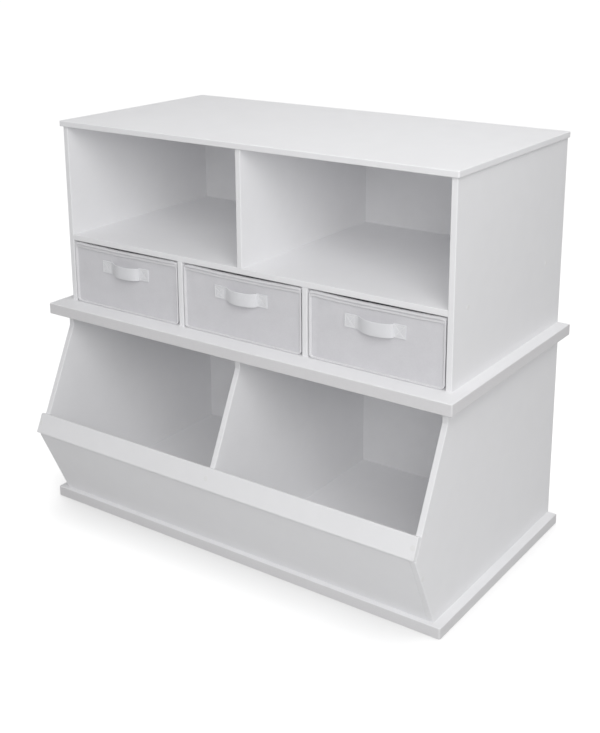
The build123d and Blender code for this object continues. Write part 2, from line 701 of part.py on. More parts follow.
with BuildPart() as shelf_screw_caps:
    for sx in (-1, 1):
        with BuildSketch(Plane.YZ.offset(sx * (upper_w / 2 - cap_deep))):
            with Locations(*[(at(d), shelf_mid_z) for d in shelf_screw_ds]):
                Circle(cap_r)
        extrude(amount=sx * cap_t)
    fillet(
        shelf_screw_caps.edges().filter_by(GeomType.CIRCLE).filter_by(
            lambda e: abs(e.center().X) > upper_w / 2
        ),
        0.3,
    )
shelf_screw_caps.part.label = "shelf_screw_caps"
export_step(shelf_screw_caps.part, "parts/shelf_screw_caps.step")

# ---- wood dowels of the upper unit
with BuildPart() as upper_dowels:
    with BuildSketch(Plane.XY.offset(slab_top_z - 11.5)):
        with Locations(
            *[(sx * side_x_up, at(d)) for sx in (-1, 1) for d in side_dowel_ds],
            *[(sx * bin_div_x, at(d)) for sx in (-1, 1) for d in bin_divider_dowel_ds],
        ):
            Circle(dowel_r)
    extrude(amount=29.0)
    with BuildSketch(Plane.XY.offset(top_under_z - 17.5)):
        with Locations(
            *[(sx * side_x_up, at(d)) for sx in (-1, 1) for d in top_dowel_ds],
            *[(0, at(d)) for d in divider_dowel_ds],
        ):
            Circle(dowel_r)
    extrude(amount=25.0)
    with BuildSketch(Plane.XY.offset(shelf_top_z - 7.5)):
        with Locations(*[(0, at(d)) for d in divider_dowel_ds]):
            Circle(dowel_r)
    extrude(amount=25.0)
    with BuildSketch(Plane.XY.offset(shelf_under_z + 7.5)):
        with Locations(*[(sx * bin_div_x, at(d)) for sx in (-1, 1) for d in bin_divider_dowel_ds]):
            Circle(dowel_r)
    extrude(amount=-25.0)
upper_dowels.part.label = "upper_dowels"
export_step(upper_dowels.part, "parts/upper_dowels.step")

# ---- stacking pegs: glued in the slab, loose in the lower unit's top panel
with BuildPart() as stacking_pegs:
    with BuildSketch(Plane.XY.offset(lower_top_z - 9.0)):
        with Locations(*[(px, at(d)) for px in peg_xs for d in peg_ds]):
            Circle(peg_r)
    extrude(amount=20.5)
    chamfer(stacking_pegs.faces().filter_by(Axis.Z).group_by(Axis.Z)[0].edges(), 1.5)
stacking_pegs.part.label = "stacking_pegs"
export_step(stacking_pegs.part, "parts/stacking_pegs.step")

# ================================================================ bins
bin_z0 = slab_top_z + bin_gap
bin_z1 = bin_z0 + bin_h
bin_y = at(bin_front_d - bin_d / 2)         # middle of the bin, front to back
front_y = at(bin_front_d)

for bin_name, cx in (("left", -bay_mid), ("centre", 0.0), ("right", bay_mid)):
    # ---- fabric shell with open-topped pockets in its four walls
    with BuildPart() as bin_fabric:
        with BuildSketch(Plane.XY.offset(bin_z0)):
            with Locations((cx, bin_y)):
                RectangleRounded(bin_w, bin_d, 5.0)
        extrude(amount=bin_h)
        with BuildSketch(Plane.XY.offset(bin_z0 + bin_floor)):
            with Locations((cx, bin_y)):
                RectangleRounded(bin_w - 2 * bin_wall, bin_d - 2 * bin_wall, 1.5)
        extrude(amount=bin_h, mode=Mode.SUBTRACT)
        with BuildSketch(Plane.XY.offset(bin_z0 + 3.0)):
            with Locations(
                (cx, bin_y - bin_d / 2 + bin_wall / 2), (cx, bin_y + bin_d / 2 - bin_wall / 2)
            ):
                Rectangle(265.0, 2.0)
            with Locations(
                (cx - bin_w / 2 + bin_wall / 2, bin_y), (cx + bin_w / 2 - bin_wall / 2, bin_y)
            ):
                Rectangle(2.0, 404.0)
        extrude(amount=bin_h, mode=Mode.SUBTRACT)
    bin_fabric.part.label = f"bin_{bin_name}_fabric"
    export_step(bin_fabric.part, f"parts/bin_{bin_name}_fabric.step")

    # ---- stiffening boards in the pockets
    with BuildPart() as bin_wall_boards:
        with BuildSketch(Plane.XY.offset(bin_z0 + 3.0)):
            with Locations(
                (cx, bin_y - bin_d / 2 + bin_wall / 2), (cx, bin_y + bin_d / 2 - bin_wall / 2)
            ):
                Rectangle(265.0, 2.0)
            with Locations(
                (cx - bin_w / 2 + bin_wall / 2, bin_y), (cx + bin_w / 2 - bin_wall / 2, bin_y)
            ):
                Rectangle(2.0, 404.0)
        extrude(amount=bin_h - 4.0)
    bin_wall_boards.part.label = f"bin_{bin_name}_wall_boards"
    export_step(bin_wall_boards.part, f"parts/bin_{bin_name}_wall_boards.step")

    # ---- loose floor board
    with BuildPart() as bin_floor_board:
        with BuildSketch(Plane.XY.offset(bin_z0 + bin_floor)):
            with Locations((cx, bin_y)):
                RectangleRounded(bin_w - 2 * bin_wall - 2.0, bin_d - 2 * bin_wall - 2.0, 3.0)
        extrude(amount=2.5)
    bin_floor_board.part.label = f"bin_{bin_name}_floor_board"
    export_step(bin_floor_board.part, f"parts/bin_{bin_name}_floor_board.step")

    # ---- binding tape: folded over the rim, and down the four corners
    with BuildPart() as bin_binding:
        with BuildSketch(Plane.XY.offset(bin_z0)):
            with Locations((cx, bin_y)):
                RectangleRounded(bin_w + 2 * tape_t, bin_d + 2 * tape_t, 6.0)
                RectangleRounded(bin_w, bin_d, 5.0, mode=Mode.SUBTRACT)
        extrude(amount=bin_h)
        with BuildSketch(Plane.XY.offset(bin_z0)):
            with Locations((cx, bin_y)):
                Rectangle(bin_w + 2 * tape_t - 2 * tape_w, bin_d + 10.0)
                Rectangle(bin_w + 10.0, bin_d + 2 * tape_t - 2 * tape_w)
        extrude(amount=bin_h - 10.0, mode=Mode.SUBTRACT)
        with BuildSketch(Plane.XY.offset(bin_z1)):
            with Locations((cx, bin_y)):
                RectangleRounded(bin_w + 2 * tape_t, bin_d + 2 * tape_t, 6.0)
                Rectangle(
                    bin_w - 2 * bin_wall - 2 * tape_t,
                    bin_d - 2 * bin_wall - 2 * tape_t,
                    mode=Mode.SUBTRACT,
                )
        extrude(amount=tape_t)
        with BuildSketch(Plane.XY.offset(bin_z1 - 10.0)):
            with Locations((cx, bin_y)):
                RectangleRounded(bin_w - 2 * bin_wall, bin_d - 2 * bin_wall, 1.5)
                Rectangle(
                    bin_w - 2 * bin_wall - 2 * tape_t,
                    bin_d - 2 * bin_wall - 2 * tape_t,
                    mode=Mode.SUBTRACT,
                )
        extrude(amount=10.0)
    bin_binding.part.label = f"bin_{bin_name}_binding"
    export_step(bin_binding.part, f"parts/bin_{bin_name}_binding.step")

    # ---- webbing handle: two flat sewn ends and an arch between them
    with BuildPart() as bin_handle:
        with BuildSketch(Plane.XY.offset(handle_z - handle_h / 2)):
            with BuildLine():
                half_len, half_arch = handle_len / 2, handle_len / 2 - handle_tab
                Polyline((cx - half_len, front_y), (cx - half_len, front_y - handle_t), (cx - half_arch, front_y - handle_t))
                ThreePointArc(
                    (cx - half_arch, front_y - handle_t),
                    (cx, front_y - handle_out),
                    (cx + half_arch, front_y - handle_t),
                )
                Polyline(
                    (cx + half_arch, front_y - handle_t),
                    (cx + half_len, front_y - handle_t),
                    (cx + half_len, front_y),
                    (cx + half_arch - 2.0, front_y),
                )
                ThreePointArc(
                    (cx + half_arch - 2.0, front_y),
                    (cx, front_y - handle_out + handle_t),
                    (cx - half_arch + 2.0, front_y),
                )
                Line((cx - half_arch + 2.0, front_y), (cx - half_len, front_y))
            make_face()
        extrude(amount=handle_h)
    bin_handle.part.label = f"bin_{bin_name}_handle"
    export_step(bin_handle.part, f"parts/bin_{bin_name}_handle.step")

print("front rail reaches", lower_front_rail.part.bounding_box().min.Y, "half depth", -rear_y)
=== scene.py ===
import bpy
import bmesh
import json
import math
import numpy as np
from mathutils import Matrix, Vector


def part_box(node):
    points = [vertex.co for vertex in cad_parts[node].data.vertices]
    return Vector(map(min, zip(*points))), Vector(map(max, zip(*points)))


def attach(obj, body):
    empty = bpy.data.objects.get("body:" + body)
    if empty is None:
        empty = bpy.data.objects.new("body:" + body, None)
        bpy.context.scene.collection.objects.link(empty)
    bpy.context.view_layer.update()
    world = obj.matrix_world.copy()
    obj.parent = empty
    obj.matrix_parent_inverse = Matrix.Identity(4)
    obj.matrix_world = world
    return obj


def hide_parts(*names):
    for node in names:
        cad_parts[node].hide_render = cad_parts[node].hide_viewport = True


# Storage cubby: painted boards with three fabric bins. Lengths below are in
# millimetres in the object's own frame and become metres in make_object().

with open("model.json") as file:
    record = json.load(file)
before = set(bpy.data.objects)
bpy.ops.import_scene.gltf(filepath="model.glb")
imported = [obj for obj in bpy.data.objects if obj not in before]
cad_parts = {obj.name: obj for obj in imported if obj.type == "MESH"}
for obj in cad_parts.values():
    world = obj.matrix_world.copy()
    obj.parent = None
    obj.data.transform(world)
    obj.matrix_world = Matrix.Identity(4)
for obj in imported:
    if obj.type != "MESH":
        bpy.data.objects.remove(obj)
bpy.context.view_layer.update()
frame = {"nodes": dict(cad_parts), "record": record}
scene = bpy.context.scene
MM = 0.001


# ------------------------------------------------------------------ camera
def make_camera():
    data = bpy.data.cameras.new("camera")
    cam = bpy.data.objects.new("camera", data)
    scene.collection.objects.link(cam)
    data.sensor_width = 36.0
    data.lens = 56.973
    data.shift_x, data.shift_y = 0.0, -0.17
    data.clip_start, data.clip_end = 0.05, 200.0
    az, el, roll = (math.radians(v) for v in (35.337, 15.19, -0.301))
    back = Vector((math.sin(az) * math.cos(el), -math.cos(az) * math.cos(el), math.sin(el)))
    x = Vector((0, 0, 1)).cross(back).normalized()
    y = back.cross(x)
    c, s = math.cos(roll), math.sin(roll)
    xr, yr = c * x + s * y, -s * x + c * y
    m = Matrix((xr, yr, back)).transposed().to_4x4()
    m.translation = Vector((1.3316, -1.8425, 1.2303))
    cam.matrix_world = m
    scene.camera = cam


make_camera()


# ------------------------------------------------------------- node helpers
class Nodes:
    """A small helper that builds one material's node tree."""

    def __init__(self, name):
        self.mat = bpy.data.materials.new(name)
        self.mat.use_nodes = True
        self.tree = self.mat.node_tree
        self.tree.nodes.clear()
        self.out = self.add("ShaderNodeOutputMaterial")
        self.bsdf = self.add("ShaderNodeBsdfPrincipled")
        self.link(self.bsdf, "BSDF", self.out, "Surface")

    def add(self, kind, **settings):
        node = self.tree.nodes.new(kind)
        for k, v in settings.items():
            setattr(node, k, v)
        return node

    def link(self, a, sa, b, sb):
        self.tree.links.new(a.outputs[sa], b.inputs[sb])

    def coords(self, uv=None, scale=(1, 1, 1), rot=(0, 0, 0)):
        """Object coordinates in metres, or the named UV map in millimetres."""
        if uv:
            src = self.add("ShaderNodeUVMap", uv_map=uv)
            socket = "UV"
        else:
            src = self.add("ShaderNodeTexCoord")
            socket = "Object"
        m = self.add("ShaderNodeMapping")
        m.inputs["Scale"].default_value = scale
        m.inputs["Rotation"].default_value = rot
        self.link(src, socket, m, "Vector")
        return m

    def noise(self, at, scale, detail=3.0, rough=0.5):
        n = self.add("ShaderNodeTexNoise")
        n.inputs["Scale"].default_value = scale
        n.inputs["Detail"].default_value = detail
        n.inputs["Roughness"].default_value = rough
        self.link(at, "Vector", n, "Vector")
        return n

    def ramp(self, src, socket, stops):
        r = self.add("ShaderNodeValToRGB")
        while len(r.color_ramp.elements) < len(stops):
            r.color_ramp.elements.new(0.5)
        for e, (p, c) in zip(r.color_ramp.elements, stops):
            e.position = p
            e.color = (*c, 1.0) if len(c) == 3 else c
        self.link(src, socket, r, "Fac")
        return r

    def math(self, op, a, b=None, clamp=False):
        m = self.add("ShaderNodeMath", operation=op, use_clamp=clamp)
        for i, v in enumerate((a, b)):
            if v is None:
                continue
            if isinstance(v, tuple):
                self.link(v[0], v[1], m, i) if False else self.tree.links.new(v[0].outputs[v[1]], m.inputs[i])
            else:
                m.inputs[i].default_value = v
        return m

    def mix(self, fac, a, b, blend="MIX"):
        m = self.add("ShaderNodeMix", data_type="RGBA", blend_type=blend)
        for sock, v in ((0, fac), (6, a), (7, b)):
            if isinstance(v, tuple) and hasattr(v[0], "outputs"):
                self.tree.links.new(v[0].outputs[v[1]], m.inputs[sock])
            elif isinstance(v, tuple):
                m.inputs[sock].default_value = (*v, 1.0)
            else:
                m.inputs[sock].default_value = v
        return m

    def span(self, src, socket, lo, hi, a=0.0, b=1.0):
        r = self.add("ShaderNodeMapRange")
        r.inputs["From Min"].default_value = a
        r.inputs["From Max"].default_value = b
        r.inputs["To Min"].default_value = lo
        r.inputs["To Max"].default_value = hi
        self.link(src, socket, r, "Value")
        return r

    def bump(self, height, socket, distance, strength=1.0, under=None):
        b = self.add("ShaderNodeBump")
        b.inputs["Distance"].default_value = distance
        b.inputs["Strength"].default_value = strength
        self.link(height, socket, b, "Height")
        if under is not None:
            self.link(under, "Normal", b, "Normal")
        return b

    def set(self, **values):
        for k, v in values.items():
            self.bsdf.inputs[k.replace("_", " ")].default_value = v


# ---------------------------------------------------------------- materials
def paint(name, warm, cool, rough, peel=1.0, drift=1.0, painted_edge_shade=None):
    """Satin white paint: soft roller texture, slow drift in tone, small specks, and optionally a painted shade that
    darkens the upright board edges.
    """
    n = Nodes(name)
    at = n.coords()
    slow = n.noise(at, 3.2, 2.0)
    mid = n.noise(at, 26.0, 4.0, 0.6)
    tone = n.ramp(slow, "Fac", [(0.30, warm), (0.72, cool)])
    cloud = n.ramp(mid, "Fac", [(0.35, (1 - 0.018 * drift,) * 3), (0.65, (1.0, 1.0, 1.0))])
    base = n.mix(1.0, (tone, "Color"), (cloud, "Color"), "MULTIPLY")
    speck = n.add("ShaderNodeTexVoronoi", feature="F1")
    speck.inputs["Scale"].default_value = 55.0
    n.link(at, "Vector", speck, "Vector")
    dots = n.ramp(speck, "Distance", [(0.015, (0.90, 0.895, 0.885)), (0.035, (1.0, 1.0, 1.0))])
    base2 = n.mix(0.35, (base, 2), (dots, "Color"), "MULTIPLY")
    if painted_edge_shade:
        # painted shade: faces that stand upright (the board edges) get a darker colour with a faint mottle, standing in
        # for shade on them
        geo, split = n.add("ShaderNodeNewGeometry"), n.add("ShaderNodeSeparateXYZ")
        n.link(geo, "Normal", split, "Vector")
        upright = n.math("ABSOLUTE", (split, "Z"))
        edge_shade_mottle = n.noise(n.coords(scale=(1.0, 1.0, 3.0)), 140.0, 4.0, 0.6)
        edge_shade_tint = n.ramp(edge_shade_mottle, "Fac", [(0.3, tuple(v * 0.96 for v in painted_edge_shade)), (0.7, painted_edge_shade)])
        edge = n.ramp(upright, 0, [(0.45, (0.0, 0.0, 0.0)), (0.75, (1.0, 1.0, 1.0))])
        shade = n.mix((edge, "Color"), (edge_shade_tint, "Color"), (1.0, 1.0, 1.0))
        base2 = n.mix(1.0, (base2, 2), (shade, 2), "MULTIPLY")
    n.tree.links.new(base2.outputs[2], n.bsdf.inputs["Base Color"])
    fine = n.noise(at, 1150.0, 2.0, 0.5)
    roll = n.noise(at, 330.0, 3.0, 0.55)
    wave = n.noise(at, 9.0, 1.0)
    b1 = n.bump(wave, "Fac", 0.0006, 0.35)
    b2 = n.bump(roll, "Fac", 0.00010 * peel, 0.55, b1)
    b3 = n.bump(fine, "Fac", 0.00003 * peel, 0.5, b2)
    n.link(b3, "Normal", n.bsdf, "Normal")
    r = n.span(mid, "Fac", rough - 0.05, rough + 0.06, 0.3, 0.7)
    n.link(r, "Result", n.bsdf, "Roughness")
    n.set(IOR=1.46, Specular_IOR_Level=0.42)
    return n.mat


def plastic_cap(name):
    n = Nodes(name)
    at = n.coords()
    f = n.noise(at, 420.0, 3.0)
    c = n.ramp(f, "Fac", [(0.3, (0.84, 0.84, 0.84)), (0.7, (0.875, 0.875, 0.88))])
    n.link(c, "Color", n.bsdf, "Base Color")
    n.link(n.bump(f, "Fac", 0.00006, 0.5), "Normal", n.bsdf, "Normal")
    n.link(n.span(f, "Fac", 0.40, 0.55), "Result", n.bsdf, "Roughness")
    return n.mat


def zinc(name):
    n = Nodes(name)
    at = n.coords()
    f = n.noise(at, 700.0, 4.0, 0.6)
    c = n.ramp(f, "Fac", [(0.3, (0.52, 0.53, 0.55)), (0.7, (0.68, 0.69, 0.70))])
    n.link(c, "Color", n.bsdf, "Base Color")
    n.link(n.span(f, "Fac", 0.24, 0.46), "Result", n.bsdf, "Roughness")
    n.link(n.bump(f, "Fac", 0.00004, 0.6), "Normal", n.bsdf, "Normal")
    n.set(Metallic=1.0)
    return n.mat


def beech(name):
    n = Nodes(name)
    at = n.coords(scale=(9.0, 140.0, 140.0))
    f = n.noise(at, 4.0, 4.0, 0.65)
    fleck = n.noise(n.coords(scale=(60.0, 600.0, 600.0)), 3.0, 2.0)
    c = n.ramp(f, "Fac", [(0.25, (0.55, 0.37, 0.20)), (0.55, (0.69, 0.50, 0.30)), (0.8, (0.76, 0.58, 0.38))])
    d = n.ramp(fleck, "Fac", [(0.42, (0.80, 0.74, 0.66)), (0.5, (1.0, 1.0, 1.0))])
    m = n.mix(0.7, (c, "Color"), (d, "Color"), "MULTIPLY")
    n.tree.links.new(m.outputs[2], n.bsdf.inputs["Base Color"])
    n.link(n.bump(f, "Fac", 0.0001, 0.6), "Normal", n.bsdf, "Normal")
    n.link(n.span(f, "Fac", 0.5, 0.7), "Result", n.bsdf, "Roughness")
    return n.mat


def felt_fabric(name, dark, light, emboss=1.0):
    """Non-woven cloth: pressed dot rows, matted fibres, faint mottle."""
    n = Nodes(name)
    uv = n.coords(uv="cloth")
    at = n.coords()
    mottle = n.noise(at, 30.0, 4.0, 0.6)
    fleece = n.noise(at, 420.0, 4.0, 0.65)
    fibre = n.noise(n.coords(uv="cloth", scale=(1.0, 3.5, 1.0), rot=(0, 0, 0.5)), 1.3, 4.0, 0.7)
    tone = n.ramp(mottle, "Fac", [(0.30, dark), (0.70, light)])
    matted = n.ramp(fleece, "Fac", [(0.32, (0.93, 0.93, 0.935)), (0.62, (1.0, 1.0, 1.0))])
    m1 = n.mix(0.8, (tone, "Color"), (matted, "Color"), "MULTIPLY")
    # pressed dots, 1.5 mm apart in offset rows
    sep = n.add("ShaderNodeSeparateXYZ")
    n.link(uv, "Vector", sep, "Vector")
    k = 2 * math.pi / 1.5
    a = n.math("ADD", (sep, "X"), (sep, "Y"))
    b = n.math("SUBTRACT", (sep, "X"), (sep, "Y"))
    ca = n.math("COSINE", (n.math("MULTIPLY", (a, 0), k * 0.7071), 0))
    cb = n.math("COSINE", (n.math("MULTIPLY", (b, 0), k * 0.7071), 0))
    dots = n.math("MULTIPLY", (ca, 0), (cb, 0))
    dip = n.span(dots, 0, 0.0, 1.0, 0.35, 0.95)
    shade = n.ramp(dip, "Result", [(0.0, (1.0, 1.0, 1.0)), (1.0, (0.90, 0.90, 0.905))])
    m2 = n.mix(0.55 * emboss, (m1, 2), (shade, "Color"), "MULTIPLY")
    n.tree.links.new(m2.outputs[2], n.bsdf.inputs["Base Color"])
    b1 = n.bump(mottle, "Fac", 0.0012, 0.35)
    b2 = n.bump(fibre, "Fac", 0.00016, 0.6, b1)
    b3 = n.bump(fleece, "Fac", 0.00012, 0.5, b2)
    inv = n.math("SUBTRACT", 1.0, (dip, "Result"))
    b4 = n.bump(inv, 0, 0.00018 * emboss, 0.6, b3)
    n.link(b4, "Normal", n.bsdf, "Normal")
    n.link(n.span(fleece, "Fac", 0.80, 0.96), "Result", n.bsdf, "Roughness")
    n.set(Sheen_Weight=0.25, Sheen_Roughness=0.55, Specular_IOR_Level=0.25)
    return n.mat


def woven_tape(name, dark, light, pitch, rib, sheen=0.2):
    """Fine plain-weave tape or ribbed webbing, from the cloth UV map in mm."""
    n = Nodes(name)
    uv = n.coords(uv="cloth")
    at = n.coords()
    sep = n.add("ShaderNodeSeparateXYZ")
    n.link(uv, "Vector", sep, "Vector")
    kx, ky = 2 * math.pi / pitch, 2 * math.pi / rib
    row = n.math("MULTIPLY", (sep, "Y"), ky)
    shift = n.math("MULTIPLY", (n.math("SIGN", (n.math("SINE", (n.math("MULTIPLY", (row, 0), 0.5), 0)), 0)), 0), 1.5708)
    col = n.math("ADD", (n.math("MULTIPLY", (sep, "X"), kx), 0), (shift, 0))
    warp = n.span(n.math("SINE", (col, 0)), 0, 0.0, 1.0, -1.0, 1.0)
    weft = n.span(n.math("COSINE", (row, 0)), 0, 0.0, 1.0, -1.0, 1.0)
    weave = n.math("MULTIPLY", (warp, "Result"), (weft, "Result"))
    fuzz = n.noise(at, 900.0, 3.0, 0.6)
    slow = n.noise(at, 60.0, 3.0)
    tone = n.ramp(slow, "Fac", [(0.3, dark), (0.7, light)])
    gaps = n.ramp(weave, 0, [(0.0, (0.86, 0.86, 0.865)), (0.35, (1.0, 1.0, 1.0))])
    m1 = n.mix(0.5, (tone, "Color"), (gaps, "Color"), "MULTIPLY")
    n.tree.links.new(m1.outputs[2], n.bsdf.inputs["Base Color"])
    b1 = n.bump(weave, 0, 0.00022, 0.7)
    b2 = n.bump(fuzz, "Fac", 0.00008, 0.5, b1)
    n.link(b2, "Normal", n.bsdf, "Normal")
    n.link(n.span(fuzz, "Fac", 0.70, 0.88), "Result", n.bsdf, "Roughness")
    n.set(Sheen_Weight=sheen, Sheen_Roughness=0.45, Specular_IOR_Level=0.3)
    return n.mat


def thread(name):
    n = Nodes(name)
    at = n.coords()
    f = n.noise(at, 1500.0, 2.0)
    c = n.ramp(f, "Fac", [(0.3, (0.74, 0.74, 0.745)), (0.7, (0.86, 0.86, 0.865))])
    n.link(c, "Color", n.bsdf, "Base Color")
    n.link(n.bump(f, "Fac", 0.00006, 0.6), "Normal", n.bsdf, "Normal")
    n.link(n.span(f, "Fac", 0.55, 0.75), "Result", n.bsdf, "Roughness")
    n.set(Sheen_Weight=0.2, Sheen_Roughness=0.4)
    return n.mat


def grey_board(name):
    n = Nodes(name)
    at = n.coords()
    f = n.noise(at, 260.0, 5.0, 0.7)
    g = n.noise(at, 24.0, 3.0)
    c = n.ramp(f, "Fac", [(0.3, (0.30, 0.27, 0.22)), (0.7, (0.44, 0.40, 0.33))])
    d = n.ramp(g, "Fac", [(0.3, (0.92, 0.92, 0.92)), (0.7, (1.0, 1.0, 1.0))])
    m = n.mix(0.8, (c, "Color"), (d, "Color"), "MULTIPLY")
    n.tree.links.new(m.outputs[2], n.bsdf.inputs["Base Color"])
    n.link(n.bump(f, "Fac", 0.0002, 0.6), "Normal", n.bsdf, "Normal")
    n.link(n.span(f, "Fac", 0.82, 0.95), "Result", n.bsdf, "Roughness")
    return n.mat


PAINT = paint("satin_white_paint", (0.892, 0.890, 0.910), (0.910, 0.912, 0.932), 0.42)
# the slab and base board paint has a painted shade that darkens its upright edge faces
SLAB_EDGE_SHADE = paint("satin_white_slab_paint_edge_shade", (0.892, 0.890, 0.910), (0.910, 0.912, 0.932), 0.42, painted_edge_shade=(0.81, 0.80, 0.80))
BACK = paint("painted_hardboard", (0.888, 0.886, 0.906), (0.912, 0.913, 0.934), 0.52, peel=2.2, drift=1.6)
CAP = plastic_cap("white_cap_plastic")
ZINC = zinc("zinc_plated_steel")
BEECH = beech("raw_beech")
CLOTH = felt_fabric("bin_nonwoven_cloth", (0.618, 0.612, 0.645), (0.662, 0.656, 0.688))
LINING = felt_fabric("bin_lining_cloth", (0.615, 0.612, 0.640), (0.658, 0.655, 0.682), emboss=0.8)
TAPE = woven_tape("binding_tape_weave", (0.700, 0.695, 0.722), (0.735, 0.730, 0.755), 0.9, 0.9)
WEB = woven_tape("handle_webbing_weave", (0.740, 0.745, 0.775), (0.780, 0.785, 0.815), 1.6, 2.0, sheen=0.3)
THREAD = thread("sewing_thread")
BOARD = grey_board("stiffener_greyboard")

BY_SLOT = {
    "painted_board": PAINT, "back_panel": BACK, "screw_cap": CAP, "steel_screw": ZINC,
    "dowel_wood": BEECH, "bin_fabric": CLOTH, "bin_lining": LINING, "bin_tape": TAPE,
    "bin_webbing": WEB, "stiffener_board": BOARD,
}
slot_of = {s["node"]: s["material_slot"] for s in frame["record"]["subparts"]}
for node_name, node in frame["nodes"].items():
    for material_slot in node.material_slots:
        # the slab and base board take the paint with the painted edge shade
        thick_board = node_name in ("upper_base_slab", "lower_base_board")
        material_slot.material = SLAB_EDGE_SHADE if thick_board else BY_SLOT[slot_of[node_name]]


# ---------------------------------------------------------------- meshes
def make_object(name, verts, faces, uvs, material):
    """verts in mm; uvs hold one (u, v) in mm per face corner."""
    me = bpy.data.meshes.new(name)
    me.from_pydata((np.asarray(verts, float) * MM).tolist(), [], faces)
    layer = me.uv_layers.new(name="cloth")
    layer.data.foreach_set("uv", np.asarray(uvs, np.float32).ravel())
    ob = bpy.data.objects.new(name, me)
    scene.collection.objects.link(ob)
    me.materials.append(material)
    bm = bmesh.new()
    bm.from_mesh(me)
    bmesh.ops.recalc_face_normals(bm, faces=bm.faces)
    bm.to_mesh(me)
    bm.free()
    me.polygons.foreach_set("use_smooth", [True] * len(me.polygons))
    me.update()
    return ob


class Build:
    """Collects verts, faces and per-corner uvs of one piece."""

    def __init__(self):
        self.verts, self.faces, self.uvs, self.count = [], [], [], 0

    def points(self, p):
        p = np.asarray(p, float).reshape(-1, 3)
        start = self.count
        self.verts.append(p)
        self.count += len(p)
        return start

    def face(self, idx, uv):
        self.faces.append(list(idx))
        self.uvs.extend(uv)

    def grid(self, start, ni, nj, uv, wrap_i=False, wrap_j=False):
        """Quads over a (ni, nj) block of points; uv is (ni+1, nj+1, 2) where it wraps."""
        for i in range(ni if wrap_i else ni - 1):
            i2 = (i + 1) % ni
            for j in range(nj if wrap_j else nj - 1):
                j2 = (j + 1) % nj
                self.faces.append([start + i * nj + j, start + i2 * nj + j, start + i2 * nj + j2, start + i * nj + j2])
                self.uvs.extend((uv[i, j], uv[i + 1, j], uv[i + 1, j + 1], uv[i, j + 1]))

    def make(self, name, material):
        return make_object(name, np.concatenate(self.verts), self.faces, self.uvs, material)


def tube(b, p, uv_along, uv_round, closed):
    """p is (n, m, 3): n closed loops of m points; end loops are closed with a cap unless closed."""
    n, m = p.shape[:2]
    start = b.points(p)
    uv = np.zeros((n + 1, m + 1, 2))
    along = np.append(uv_along, uv_along[-1] + (uv_along[-1] - uv_along[-2]))
    uv[:, :, 0] = along[: n + 1, None]
    uv[:, :, 1] = uv_round[None, : m + 1]
    b.grid(start, n, m, uv, wrap_i=closed, wrap_j=True)
    if not closed:
        for k in (0, n - 1):
            ids = [start + k * m + j for j in range(m)]
            c = b.points(p[k].mean(0))
            for j in range(m):
                b.face((c, ids[j], ids[(j + 1) % m]), [(0, 0)] * 3)
    return start


def smooth(x, a, b):
    t = np.clip((np.asarray(x, float) - a) / (b - a), 0, 1)
    return t * t * (3 - 2 * t)


def round_loop(points, n):
    """n points on a closed Catmull-Rom curve through points."""
    p = np.asarray(points, float)
    k = len(p)
    out = []
    for i in range(k):
        p0, p1, p2, p3 = p[(i - 1) % k], p[i], p[(i + 1) % k], p[(i + 2) % k]
        for t in np.linspace(0, 1, 8, endpoint=False):
            out.append(0.5 * (2 * p1 + (p2 - p0) * t + (2 * p0 - 5 * p1 + 4 * p2 - p3) * t * t + (3 * p1 - p0 - 3 * p2 + p3) * t ** 3))
    out = np.array(out)
    d = np.linalg.norm(np.diff(np.vstack([out, out[:1]]), axis=0), axis=1)
    s = np.concatenate([[0], np.cumsum(d)])
    q = np.linspace(0, s[-1], n, endpoint=False)
    closed = np.vstack([out, out[:1]])
    return np.stack([np.interp(q, s, closed[:, i]) for i in range(out.shape[1])], 1), q, s[-1]


def waves(seed, count, low_len, high_len, amp):
    """A repeatable smooth random field over (x, y) in mm."""
    rng = np.random.RandomState(seed)
    parts = []
    for _ in range(count):
        length = math.exp(rng.uniform(math.log(low_len), math.log(high_len)))
        ang, ph = rng.uniform(0, math.pi), rng.uniform(0, 2 * math.pi)
        k = 2 * math.pi / length
        parts.append((k * math.cos(ang), k * math.sin(ang), ph, (length / high_len) ** 0.7))
    norm = math.sqrt(sum(w * w for *_, w in parts) / 2)

    def field(x, y):
        total = 0
        for kx, ky, ph, w in parts:
            total = total + w * np.sin(kx * x + ky * y + ph)
        return amp * total / norm

    return field


